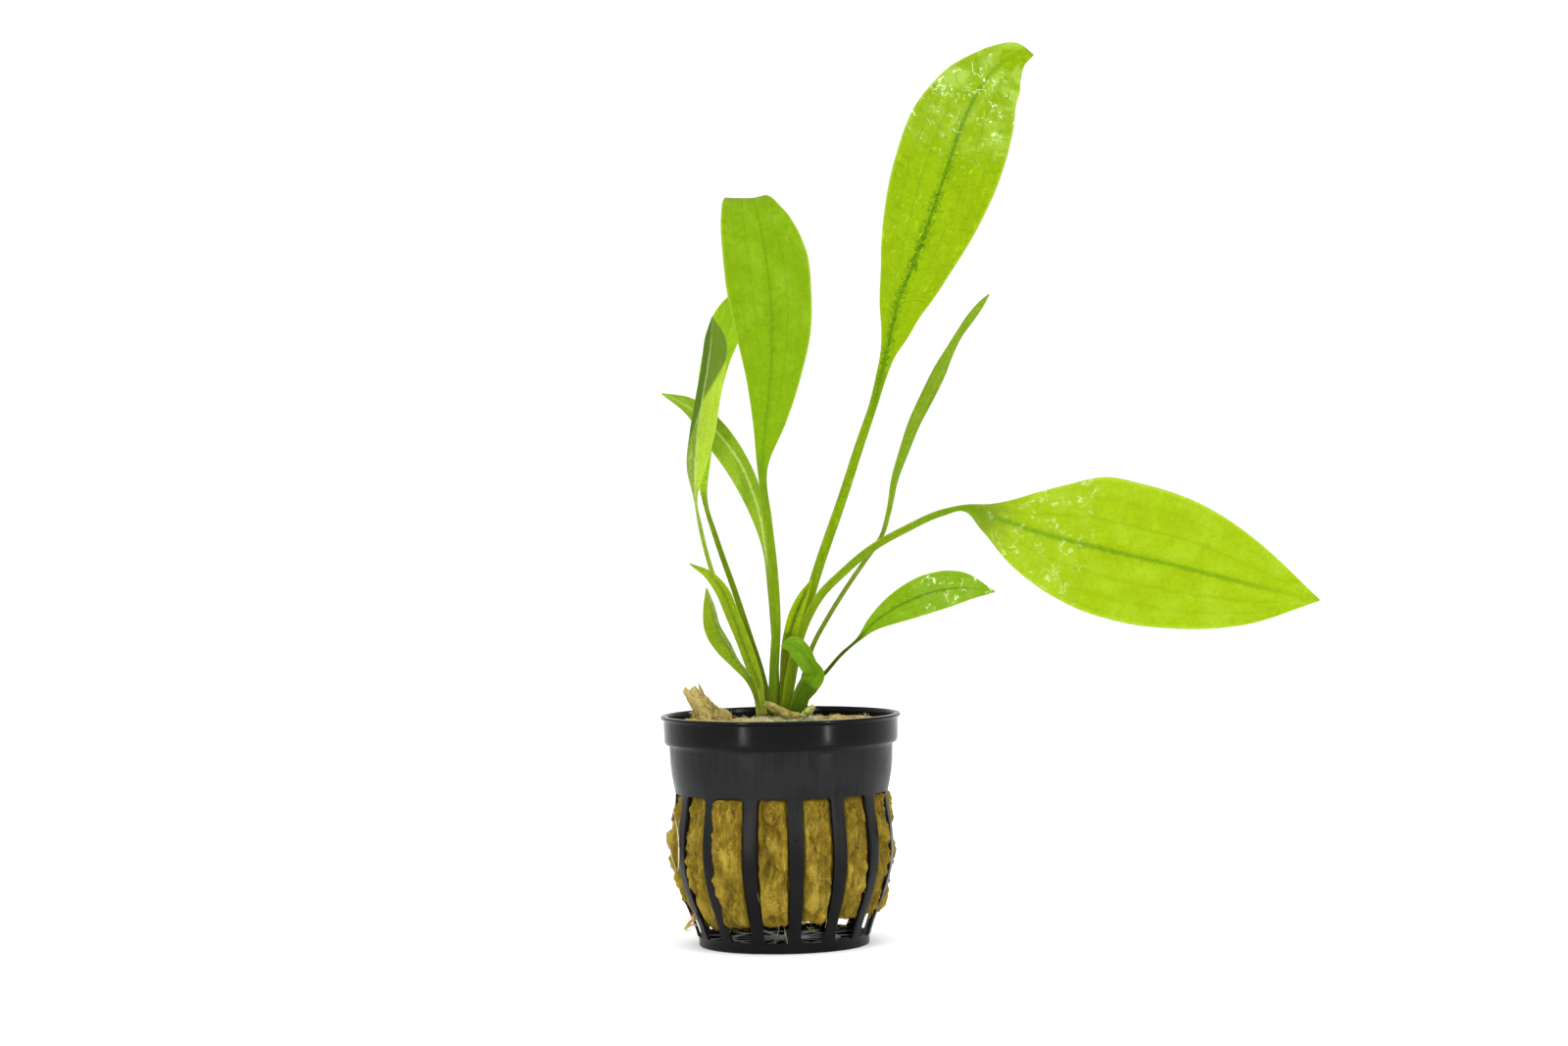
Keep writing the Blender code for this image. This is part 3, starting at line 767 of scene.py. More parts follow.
LEAVES = (
    Leaf(Slot.BRIGHT_LEAF, LeafPlan(
        "leaf_tall_right",
        ((0.9, 2.4, LEAF_FOOT), (3.8, 4, 64), (7.4, 5, 77), (14.9, 7, 98), (18.7, 8.5, 109),
         (21.6, 9.8, 117)),
        (1.2, 0.95),
        ((23.2, 10.9, 122.5, 1.1, 1.2), (24.6, 11.7, 128.3, 1.3, 2.3), (25.7, 12.2, 132.2, 2.2, 3.8),
         (27.3, 13, 139, 4.2, 6.2), (30.5, 14, 146.5, 7.4, 7.9), (34.6, 15.5, 157, 10.4, 10.3),
         (38.6, 17, 168, 11.7, 11.7), (42.7, 19, 179, 11.0, 11.2), (46.6, 21, 186.6, 8.1, 9.0),
         (51.6, 23, 192.3, 4.3, 6.3), (55.6, 24.8, 194.1, 2.7, 3.1), (58.9, 26, 194.3, TIP, TIP)),
        (0.25, 0.25),
    ), LeafFinish(
        "tall_blade", (0.295, 0.45, 0.001), (0.24, 0.38, 0.003), (0.22, 0.24, 0.01),
        rib=(0.12, 0.27, 0.001), rib_share=0.95, rib_width=0.7, speckle=1.0, flecks=1.0, ladder=0.6,
        pale=1.0, pale_from=0.62, wet=(0.66, 0.86), damp=1.0,
    )),
    Leaf(Slot.BRIGHT_LEAF, LeafPlan(
        "leaf_upright",
        ((-1.6, -0.9, LEAF_FOOT), (-1.2, -0.8, 60), (-0.6, -0.5, 69), (-1.0, 0, 81.5), (-2.0, 1, 92)),
        (1.1, 0.9),
        ((-3, 2, 103, 1.1, 1.1), (-1.9, 3, 114.5, 3.2, 4.7), (-0.7, 4, 125, 6.0, 7.0),
         (-0.4, 4.5, 132.5, 7.9, 8.4), (-0.6, 5, 141, 9.4, 8.9), (-1.6, 6, 150, 9.5, 8.8),
         (-2.9, 8, 157.5, 8.5, 6.4), (-3.9, 11.5, 162.2, 6.7, 3.5), (-4.3, 15, 162.5, 5.0, 2.5),
         (-4.8, 19, 160.0, TIP, TIP)),
        (0.15, 0.15), (0, -1, 1),
    ), LeafFinish(
        "upright_blade", (0.235, 0.40, 0.003), (0.20, 0.33, 0.004), (0.13, 0.20, 0.004),
        rib=(0.14, 0.30, 0.003), rib_share=0.75, rib_width=0.6, speckle=0.3, flecks=0.2, ladder=0.4,
        pale=0.15, pale_from=0.4,
    )),
    Leaf(Slot.MID_LEAF, LeafPlan(
        "leaf_left_folded",
        ((-4.1, 1.2, LEAF_FOOT), (-7.1, 1.5, 62), (-11.1, 2, 72), (-14.5, 2.5, 81.5), (-16.6, 3, 90)),
        (0.6, 0.45),
        ((-17.7, 3, 97.5, 0.5, 0.5), (-17.6, 3, 103, 1.8, 2.1), (-16.9, 3, 111.5, 1.7, 3.8),
         (-15.7, 3, 119, 1.5, 3.9), (-14.5, 3, 125.5, 1.4, 3.9), (-13.6, 3, 132, 1.3, 3.2),
         (-13.3, 3, 136.4, TIP, TIP)),
        (1.6, 0.6),
    ), LeafFinish(
        "folded_blade", (0.47, 0.63, 0.05), (0.30, 0.42, 0.03), (0.33, 0.34, 0.05), rib=(0.50, 0.62, 0.20),
        rib_share=0.6, rib_width=0.3, shade=1.0, flecks=0.4, ladder=0.15, shadow_above=0.5,
    )),
    Leaf(Slot.MID_LEAF, LeafPlan(
        "leaf_left_back",
        ((-2.1, 2.3, LEAF_FOOT), (-4.4, 4, 60), (-6.4, 5, 66.5), (-9.7, 7, 77), (-13.4, 9, 88)),
        (0.85, 0.6),
        ((-15.8, 10.5, 96.5, 0.6, 0.6), (-16.4, 12, 105, 1.5, 2), (-14.9, 13, 116, 2.6, 2.2),
         (-12.4, 14, 126.5, 3.8, 2.4), (-9, 15, 136.5, 4.1, 3), (-5.1, 16, 145, TIP, TIP)),
        (0.3, 0.6),
    ), LeafFinish(
        "back_blade", (0.43, 0.66, 0.02), (0.18, 0.28, 0.003), (0.22, 0.26, 0.01), rib=(0.30, 0.45, 0.03),
        rib_share=0.4, speckle=0.5, ladder=0.2,
    )),
    Leaf(Slot.MID_LEAF, LeafPlan(
        "leaf_left_narrow",
        ((-0.6, 4.9, LEAF_FOOT), (-1.1, 5, 66.5), (-1.8, 5.5, 77)),
        (0.7, 0.6),
        ((-2.7, 6, 85.5, 0.6, 0.6), (-4, 6, 94, 2.1, 1.1), (-5.2, 6, 98, 2.7, 1.8),
         (-7.9, 6.5, 104.5, 3.5, 2.0), (-12.9, 7, 111.5, 3.4, 2.4), (-18.7, 8, 116.8, 1.6, 2.1),
         (-24.8, 9, 120, TIP, TIP)),
        (0.3, 0.9),
    ), LeafFinish(
        "narrow_left_blade", (0.30, 0.46, 0.022), (0.25, 0.38, 0.02), (0.20, 0.28, 0.02),
        rib=(0.60, 0.72, 0.22), rib_share=0.75, rib_width=0.35, flecks=0.35, ladder=0.25, pale=0.2,
    )),
    Leaf(Slot.MID_LEAF, LeafPlan(
        "leaf_left_channelled",
        ((-3.9, -2.6, LEAF_FOOT), (-4.2, -2.5, 53)),
        (1, 0.9),
        ((-4.6, -2.5, 56.2, 1, 1.1), (-6.5, -2.5, 61.5, 1.2, 1.7), (-8.1, -2.6, 66.5, 1.3, 1.6),
         (-10.1, -2.8, 72, 1.5, 1.5), (-12.1, -3, 77, 1.5, 1.4), (-14.8, -3.5, 80.5, 1.1, 0.9),
         (-19, -4, 83, TIP, TIP)),
        (0.7, 0.5), wave=0.1,
    ), LeafFinish(
        "channelled_blade", (0.31, 0.43, 0.012), (0.38, 0.45, 0.03), (0.46, 0.46, 0.10),
        rib=(0.12, 0.21, 0.004), rib_share=0.6, rib_width=0.5, speckle=0.5, flecks=0.3, ladder=0.1,
        pale=0.1,
    )),
    Leaf(Slot.MID_LEAF, LeafPlan(
        "leaf_left_low",
        ((-4.6, -5.2, LEAF_FOOT), (-5.3, -5.3, 54.5)),
        (0.6, 0.55),
        ((-6.5, -5.5, 58, 1.0, 0.7), (-9.2, -5.8, 61.8, 1.6, 0.6), (-11.6, -6.2, 65.5, 2.4, 1.2),
         (-13.5, -6.6, 69.3, 2.6, 1), (-14.6, -7, 73.5, 1.7, 1), (-15.4, -7.5, 77.8, TIP, TIP)),
        (0.5, 0.5), wave=0.1,
    ), LeafFinish(
        "low_blade", (0.245, 0.355, 0.008), (0.16, 0.22, 0.006), (0.36, 0.36, 0.08), rib=(0.13, 0.22, 0.01),
        rib_share=0.5, rib_width=0.4, shade=-0.7, speckle=0.6, flecks=0.5,
    )),
    Leaf(Slot.BRIGHT_LEAF, LeafPlan(
        "leaf_young",
        ((0.5, -0.3, LEAF_FOOT), (1.0, -0.2, 57), (1.5, 0, 63)),
        (0.9, 1.2),
        ((2.3, 0.2, 67, 1.4, 1.4), (3.6, 0.5, 71, 1.6, 1.4), (5.2, 0.9, 74.8, 1.3, 1.1),
         (7.3, 1.4, 79, TIP, TIP)),
        (0.5, 0.5), wave=0.0,
    ), LeafFinish(
        "young_blade", (0.37, 0.52, 0.006), (0.17, 0.22, 0.003), (0.15, 0.17, 0.003),
        rib=(0.09, 0.17, 0.002), rib_share=0.9, rib_width=0.6, speckle=0.5, flecks=0.2, ladder=0.1,
        pale=0.1,
    )),
    Leaf(Slot.BRIGHT_LEAF, LeafPlan(
        "leaf_wide_right",
        ((1, -2.6, LEAF_FOOT), (2.2, -2.7, 58), (3.8, -2.8, 64.5), (5.8, -3, 70), (9.3, -3.3, 75.9),
         (14, -3.8, 80.5), (20.4, -4.4, 85.7), (27.9, -5, 89.8), (35.3, -5.6, 93.0)),
        (1.1, 0.75),
        ((40.6, -6, 94.0, 0.8, 0.8), (45.8, -6.5, 92.3, 2.8, 3.9), (53.1, -7, 89.6, 7.9, 8.6),
         (60.4, -7.5, 87.3, 12.2, 11.8), (67.0, -7.8, 85.5, 15.2, 13.6), (74.0, -8.1, 83.7, 15.6, 14.3),
         (85.5, -8.5, 80.9, 14.6, 13.6), (102, -9, 76.4, 8.8, 8.6), (116.1, -9.5, 73, TIP, TIP)),
        (-0.1, 0.4), wave=0.35, wave_length=14.0,
    ), LeafFinish(
        "wide_blade", (0.345, 0.49, 0.004), (0.21, 0.335, 0.006), (0.16, 0.22, 0.003),
        rib=(0.14, 0.29, 0.002), rib_share=0.75, rib_width=0.9, speckle=0.3, flecks=0.15, ladder=0.25,
        pale=0.18, fold_shade_reach=0.10, wet=(0.08, 0.32), damp=0.4, soft=0.6, edge=(0.46, 0.62, 0.05),
    )),
    Leaf(Slot.MID_LEAF, LeafPlan(
        "leaf_narrow_right",
        ((3.3, 2.6, LEAF_FOOT), (5.2, 3, 57.8), (7.2, 3.5, 64.2), (11, 4, 71), (14.9, 4.5, 77),
         (18.8, 5, 82.5)),
        (0.55, 0.5),
        ((22.7, 5.4, 88, 0.5, 0.5), (24.4, 5.9, 93.5, 0.55, 0.6), (25.9, 6.4, 100.5, 0.85, 0.8),
         (27.8, 6.9, 106, 1.1, 1.1), (30.5, 7.5, 112.9, 1.4, 1.4), (33.2, 8, 118.2, 1.55, 1.6),
         (36.2, 8.5, 124, 1.5, 1.55), (38.2, 9, 127.8, 1.1, 1.1), (40.6, 9.6, 131.8, 0.9, 0.8),
         (43.2, 10.4, 135.4, 1.0, 0.9), (45.7, 11.2, 138.4, 0.8, 0.6), (47.4, 12, 140.6, TIP, TIP)),
        (1.0, -0.8), wave=0.0,
    ), LeafFinish(
        "narrow_right_blade", (0.23, 0.365, 0.016), (0.235, 0.32, 0.025), (0.20, 0.24, 0.010),
        rib=(0.14, 0.25, 0.01), rib_share=0.4, rib_width=0.4, speckle=0.0, flecks=0.0, ladder=0.1, pale=0.1,
        edge=(0.26, 0.42, 0.02),
    )),
    Leaf(Slot.MID_LEAF, LeafPlan(
        "leaf_small_right",
        ((4.9, 0.2, LEAF_FOOT), (6.8, 0, 55.4), (10.1, -0.5, 59), (13.3, -1, 62.6)),
        (0.5, 0.4),
        ((17.4, -1.6, 66.2, 0.5, 0.5), (20.2, -2, 69.2, 1.4, 1.6), (23.4, -2.5, 71.6, 2.4, 2.8),
         (27.7, -3, 73.9, 3.5, 3.8), (33, -3.6, 75.9, 4.1, 4.2), (39.3, -4.3, 76.8, 3.6, 3.3),
         (46.7, -5, 75.9, TIP, TIP)),
        (0.1, 0.4),
    ), LeafFinish(
        "small_blade", (0.235, 0.41, 0.006), (0.09, 0.14, 0.004), (0.09, 0.14, 0.004),
        rib=(0.09, 0.19, 0.003), rib_share=0.7, rib_width=0.4, flecks=0.3, ladder=0.3, pale=0.3,
        wet=(0.5, 0.97), damp=1.0,
    )),
    Leaf(Slot.MID_LEAF, LeafPlan(
        "leaf_bent",
        ((3.0, -4.6, LEAF_FOOT), (4.3, -5, 53.5)),
        (1.55, 1.8),
        ((6, -5.4, 56.6, 1.95, 2.5), (7.6, -6, 58.6, 2.0, 2.1), (6.6, -7.2, 61, 2.3, 1.5),
         (4.7, -8, 63.6, 2.2, 2.2), (2.5, -8.5, 65.2, 1.7, 2.1), (0.4, -8.8, 65.1, TIP, TIP)),
        (0.2, 0.2), wave=0.05,
    ), LeafFinish(
        "bent_blade", (0.165, 0.335, 0.008), (0.085, 0.165, 0.003), (0.045, 0.10, 0.002),
        rib=(0.03, 0.09, 0.001), rib_share=0.25, rib_width=0.6, speckle=0.2, flecks=0.1, ladder=0.1,
        pale=0.3, edge=(0.22, 0.36, 0.03),
    )),
)


# ---- pot


@dataclass
class NetPot:
    """The slotted pot: lip, collar, ledge, band, bowed ribs, base ring and lattice floor."""

    finish: PlasticFinish = PlasticFinish()
    ribs: int = 15
    first_rib: float = math.radians(6.9)
    rib_half: float = math.radians(3.82)
    spoke_half: float = 0.7
    slot_top: float = 33.3
    slot_foot: float = 2.3
    # Degrees added to each side of a rib above or below a height, where the slots' corners round off.
    top_flares: tuple = ((32.2, 0.07), (32.7, 0.16), (33.1, 0.45))
    foot_flares: tuple = ((3.5, 0.08), (2.4, 0.35))
    # Radii between which the floor is open.
    gaps: tuple = ((17.2, 12.3), (10.5, 5.5))
    bevel: float = 0.13
    columns_solid: tuple = (-1.0, -0.6, 0.0, 0.6, 1.0)
    columns_slot: int = 4
    # Outer radius and height, then inner radius and height, down the wall.
    wall: tuple = (
        (25.75, 50.0, 24.85, 50.0), (26.0, 49.85, 24.72, 49.85), (26.0, 49.4, 24.65, 49.4),
        (25.75, 49.22, 24.62, 49.2), (25.42, 49.1, 24.6, 49.0), (25.41, 48.85, 24.6, 48.8),
        (25.38, 46.5, 24.56, 46.5), (25.36, 44.7, 24.54, 44.95), (25.33, 44.4, 24.46, 44.7),
        (25.18, 44.0, 24.34, 44.35), (24.95, 43.82, 24.1, 44.1), (24.42, 43.68, 23.6, 43.9),
        (24.25, 43.45, 23.42, 43.6), (24.2, 42.8, 23.36, 42.9), (24.12, 40.0, 23.3, 40.0),
        (23.85, 37.4, 23.0, 37.4), (23.45, 35.2, 22.5, 35.2), (23.15, 33.8, 22.1, 33.8),
        (23.08, 33.3, 22.05, 33.3), (23.06, 33.0, 22.05, 33.0), (23.08, 32.5, 22.1, 32.5),
        (23.12, 31.8, 22.22, 31.8), (23.3, 30.0, 22.4, 30.0), (23.8, 27.0, 22.9, 27.0),
        (24.12, 23.8, 23.22, 23.8), (24.2, 20.6, 23.3, 20.6), (23.78, 16.8, 22.88, 16.8),
        (22.8, 13.0, 21.9, 13.0), (21.8, 10.2, 20.9, 10.2), (20.8, 7.9, 20.2, 7.9),
        (19.75, 5.2, 19.15, 5.2), (19.1, 3.3, 18.5, 3.3), (18.85, 2.3, 18.25, 2.3),
        (18.58, 2.0, 17.98, 2.0), (18.5, 1.7, 17.85, 1.7), (18.5, 0.4, 17.8, 1.5), (18.38, 0.1, 17.6, 1.36),
        (18.1, 0.0, 17.1, 1.3),
    )
    floor_radii: tuple = (17.0, 15.6, 14.0, 12.3, 11.4, 10.5, 9.0, 7.2, 5.5, 3.6, 1.8, 0.0)
    floor_top: float = 1.3
    pitch: float = field(init=False)
    rows: list = field(init=False)

    def __post_init__(self) -> None:
        """Spaces the ribs, and joins the wall's rows and the floor's."""
        self.pitch = FULL_TURN / self.ribs
        self.rows = [*self.wall, *((radius, 0.0, radius, self.floor_top) for radius in self.floor_radii)]

    def rib_turn(self, index: float) -> float:
        """The angle of a rib about the pot's axis, counted from its front."""
        return self.first_rib - math.pi / 2 + index * FULL_TURN / self.ribs

    def solid_half(self, row: tuple) -> float:
        """Half the angle that a rib or spoke takes at a row."""
        radius, height = row[:2]
        if height <= 0.5:
            return min(self.spoke_half / max(radius, 5.0), self.rib_half * 2)
        flare = sum(size * (height > level) for level, size in self.top_flares)
        flare += sum(size * (height < level) for level, size in self.foot_flares)
        return self.rib_half + math.radians(flare) * 2.0

    def columns(self, row: tuple) -> np.ndarray:
        """The angles of a row's columns, all the way round."""
        half = self.solid_half(row)
        steps = self.columns_slot + 1
        slot = [half + (self.pitch - 2 * half) * (k + 1) / steps for k in range(self.columns_slot)]
        one = np.array([side * half for side in self.columns_solid] + slot)
        return np.concatenate([one + self.rib_turn(i) for i in range(self.ribs)])

    def is_open(self, row: int, column: int) -> bool:
        """Whether the cell below a row and after a column is a slot or a gap."""
        per_rib = len(self.columns_solid) + self.columns_slot
        if column % per_rib < len(self.columns_solid) - 1:
            return False
        (radius, height, *_), (next_radius, next_height, *_) = self.rows[row], self.rows[row + 1]
        if height > 0.5:
            return height <= self.slot_top and next_height >= self.slot_foot
        return next_height == 0 and any(radius <= wide and next_radius >= near for wide, near in self.gaps)

    def build(self) -> None:
        """Builds the pot as one thick lattice and ties it to the frame."""
        turns = [self.columns(row) for row in self.rows]
        layers = [
            polar(turn, *row[part : part + 2]) for part in (0, 2) for row, turn in zip(self.rows, turns)
        ]
        count, depth = len(turns[0]), len(self.rows)

        def at(row: int, column: int, inside: bool) -> int:
            """The number of a lattice point."""
            return (row + inside * depth) * count + column % count

        faces = []
        shut = {(r, c) for r in range(depth - 1) for c in range(count) if not self.is_open(r, c)}
        for r, c in shut:
            corners = ((r, c), (r + 1, c), (r + 1, c + 1), (r, c + 1))
            faces.append(tuple(at(i, j, False) for i, j in corners))
            faces.append(tuple(at(i, j, True) for i, j in reversed(corners)))
            beyond = ((r, (c - 1) % count), (r + 1, c), (r, (c + 1) % count), (r - 1, c))
            for k, cell in enumerate(beyond):
                # The floor's innermost cells meet at the middle and need no side there.
                if cell in shut or cell[0] == depth - 1:
                    continue
                a, b = corners[k], corners[(k + 1) % 4]
                faces.append((at(*b, False), at(*a, False), at(*a, True), at(*b, True)))
        pot = mesh_piece("pot", np.concatenate(layers), faces, self.finish.material())
        edge = pot.modifiers.new("Rounded edges", "BEVEL")
        edge.width = self.bevel * MM
        edge.segments = 2
        edge.limit_method = "ANGLE"
        edge.angle_limit = math.radians(50)
        edge.harden_normals = False
        settle(pot, Slot.PLASTIC, "net_pot")

    def radius_at(self, height: np.ndarray, inside: bool) -> np.ndarray:
        """The radius of the wall's inside or outside at each height."""
        rows = np.array(self.wall)[::-1, 2 * inside : 2 * inside + 2]
        return np.interp(height, rows[:, 1], rows[:, 0])

    def slot_place(self, turn: np.ndarray) -> np.ndarray:
        """How many ribs on from the first one each angle is."""
        return (turn - self.rib_turn(0)) / self.pitch


# ---- wool


@dataclass
class WoolPlug:
    """The matted wool: a lumpy plug that swells out through the slots, with loose fibres on it."""

    pot: NetPot
    finish: WoolFinish = WoolFinish()
    columns: int = 720
    rows: int = 104
    foot: float = 6.0
    top: float = 47.8
    farthest: float = 25.4
    highest_foot: float = math.radians(-25)
    # How far the wool stands past the ribs in each slot, round from the slot right of the first rib.
    swell: tuple = (-0.3, -0.3, 0.0, -0.3, 0.1, 0.2, 0.4, 0.1, 0.1, 0.3, -0.2, -0.3, -0.4, 1.0, 0.2)
    # Degrees that the wool creeps over the rib on each slot's right side, as seen from outside.
    creep: tuple = (0.0, 0.0, 0.6, 0.0, 0.3, 0.0, 0.4, 0.2, 0.0, 0.3, 0.0, 0.3, 0.0, 2.2, 0.0)
    # Angle in degrees, height, spread and amount of single lumps on the side.
    lumps: tuple = (
        (187, 24.0, 1.5, 1.3), (273, 11.5, 2.2, 0.9), (290, 11.5, 1.9, 1.4), (250, 20.0, 4.5, 0.7),
        (244, 9.0, 3.0, 0.7), (322, 28.0, 3.0, 0.5), (310, 14.0, 3.5, 0.6), (233, 30.0, 3.0, 0.5),
    )
    # Place, spread and height of mounds on the top.
    mounds: tuple = (
        (-19.0, -9.0, 4.0, 2.0), (-12.0, -8.0, 4.5, 1.2), (12.5, 4.0, 4.0, 1.6), (3.0, -9.0, 4.0, 0.7),
        (15.0, -6.0, 4.0, 1.0), (19.0, 3.0, 3.0, 0.9), (-6.5, -9.0, 3.0, 1.3), (6.0, 12.0, 5.0, 0.5),
    )
    # Shares of the side's radius at which the rings of the underside and of the top lie.
    under_shares: tuple = (0.0, 0.3, 0.6, 0.85, 0.95)
    over_shares: tuple = (0.985, 0.96, 0.93, 0.89, 0.84, 0.79, 0.73, 0.67, 0.6, 0.53, 0.46, 0.38, 0.3, 0.22)
    side_fibres: int = 3200
    top_fibres: int = 1300
    fibre_steps: int = 6
    seed: int = 11

    def surface(self, turn: np.ndarray, height: np.ndarray) -> tuple:
        """Points of the plug's side.

        Args:
            turn: angles about the axis.
            height: heights, the same shape.

        Returns:
            Rows of x, y, z, and how far each point stands out of the wool round it.
        """
        pot = self.pot
        inside, outside = pot.radius_at(height, True) - 0.3, pot.radius_at(height, False)
        place = pot.slot_place(turn) % pot.ribs
        slot = np.floor(place).astype(int) % pot.ribs
        part = place % 1
        base = polar(turn, 20, height)
        coarse, fine = lumps(base * (1, 1, 0.6), 5.5, 3, 3.0), lumps(base * (1, 1, 0.7), 2.0, 5, 9.0)
        creep = np.radians(np.array(self.creep)[slot] * (part < 0.5) * (0.7 + 0.8 * coarse) + 0.15 * fine)
        from_rib = np.minimum(part, 1 - part) * pot.pitch + creep
        clear = ease(from_rib, pot.rib_half * 0.92, pot.rib_half * 1.55)
        belly = ease(height, self.foot - 2.5, self.foot + 1.5)
        belly = belly * ease(height, pot.slot_top + 0.3, pot.slot_top - 0.9)
        tufts = np.abs(lumps(base * (1, 1, 0.5) + 1.2 * coarse[:, None], 5.5, 4, 14.0)) * 2.2
        out = 0.7 * coarse + 0.35 * fine + 0.85 * tufts - 0.55
        for angle, level, spread, amount in self.lumps:
            round_to = (turn - math.radians(angle) + math.pi) % FULL_TURN - math.pi
            out = out + amount * bell(np.hypot(round_to * 22, height - level), spread)
        face = np.minimum(outside + np.array(self.swell)[slot] + out, self.farthest)
        radius = inside + clear * belly * np.maximum(face - inside, 0.0)
        radius = radius * (0.93 + 0.07 * ease(height, self.foot - 2.0, self.foot + 1.0))
        return polar(turn, radius, height), out * clear

    def top_height(self, points: np.ndarray) -> np.ndarray:
        """The height of the plug's top at each x, y."""
        found = np.full(len(points), self.top)
        for x, y, spread, amount in self.mounds:
            found += amount * bell(np.hypot(points[:, 0] - x, points[:, 1] - y), spread)
        flat = points * (1, 1, 0)
        return found + 0.55 * lumps(flat, 5.0, 5, 5.0) + 0.25 * lumps(flat, 1.4, 3, 8.0)

    def build(self) -> None:
        """Builds the plug and its fibres, and ties both to the frame."""
        turn = np.linspace(0, FULL_TURN, self.columns, endpoint=False)
        foot = self.foot + 1.2 * lumps(polar(turn, 9, 0), 4, 4, 2.0)
        foot = foot + 1.4 * np.cos(turn - self.highest_foot) - 0.4
        rise = self.top - 1.2 - foot
        levels = np.linspace(0, 1, self.rows)
        rings, depths = zip(*(self.surface(turn, foot + rise * level) for level in levels))
        under = []
        for share in self.under_shares:
            points = rings[0] * (share + 1e-4, share + 1e-4, 1)
            points[:, 2] += 0.6 * (1 - share) + 0.5 * lumps(points, 3.0, 4, 7.0) * (share < 0.94)
            under.append(points)
        over = []
        for share in self.over_shares:
            points = rings[-1] * (share, share, 1)
            level_out = ease(share, 1.0, 0.94)
            points[:, 2] = points[:, 2] * (1 - level_out) + self.top_height(points) * level_out
            over.append(points)
        every = [*under, *rings, *over]
        below, above = (np.zeros(len(part) * self.columns) for part in (under, over))
        depth = np.concatenate([below, *depths, above])
        faces = tube_faces(len(every), self.columns)
        plug = mesh_piece("wool", np.concatenate(every), faces, self.finish.material(), wool_depth=depth)
        settle(plug, Slot.WOOL, "wool_plug")
        self.build_fibres()

    def build_fibres(self) -> None:
        """Scatters loose fibres over the side, and short ones that stand up from the top."""
        chance = np.random.default_rng(self.seed)
        count, steps = self.side_fibres, self.fibre_steps
        turn = chance.uniform(0, FULL_TURN, count)
        height = chance.uniform(self.foot - 1, self.pot.slot_top - 0.4, count)
        start, _ = self.surface(turn, height)
        upward = np.array((0, 0, 1))
        outward = polar(turn, 1, 0)
        lean = chance.uniform(-math.pi, math.pi, count)[:, None]
        heading = np.cross(upward, outward) * np.cos(lean) * 0.7 + upward * np.sin(lean)
        length = chance.uniform(0.9, 3.8, count)[:, None]
        curl = chance.uniform(-0.6, 0.6, (count, 1))
        rise = (0.10 + 0.5 * chance.random((count, 1)) ** 2) * 0.8
        hump = np.sin(math.pi * np.minimum(np.linspace(0, 1, steps) * 1.1, 1))[:, None]
        bend = np.cross(heading, outward) * curl * length
        paths = arcs(start - outward * 0.12, heading * length, bend, steps)
        paths = paths + (outward * rise)[:, None] * hump
        keep = self.in_a_slot(paths)
        finish = StrandFinish("loose_fibre", (0.22, 0.15, 0.016), (0.60, 0.47, 0.12)).material()
        radii = chance.uniform(0.016, 0.036, keep.sum())
        settle(strands("wool_fibres", paths[keep], radii, finish), Slot.WOOL)

        count = self.top_fibres
        turn, reach = chance.uniform(0, FULL_TURN, count), 22.5 * np.sqrt(chance.uniform(0.04, 1, count))
        foot = polar(turn, reach, 0)
        foot[:, 2] = self.top_height(foot) - 0.1
        heading = unit(chance.normal(0, 1, (count, 3)) * (1, 1, 0.3) + (0, 0, 0.55))
        length = chance.uniform(0.5, 2.2, count)[:, None]
        paths = arcs(foot, heading * length, np.array((0, 0, -0.35)) * length, steps)
        finish = StrandFinish("dry_fibre", (0.42, 0.33, 0.12), (0.80, 0.72, 0.42)).material()
        settle(strands("top_fibres", paths, chance.uniform(0.025, 0.05, count), finish), Slot.WOOL)

    def in_a_slot(self, paths: np.ndarray) -> np.ndarray:
        """Which strands keep clear of the ribs all the way."""
        place = self.pot.slot_place(np.arctan2(paths[:, :, 1], paths[:, :, 0])) % 1
        clear = np.minimum(place, 1 - place) * self.pot.pitch > self.pot.rib_half * 1.02
        height = paths[:, :, 2]
        inside = (height > self.foot - 2) & (height < self.pot.slot_top - 0.3)
        return (clear & inside).all(1)


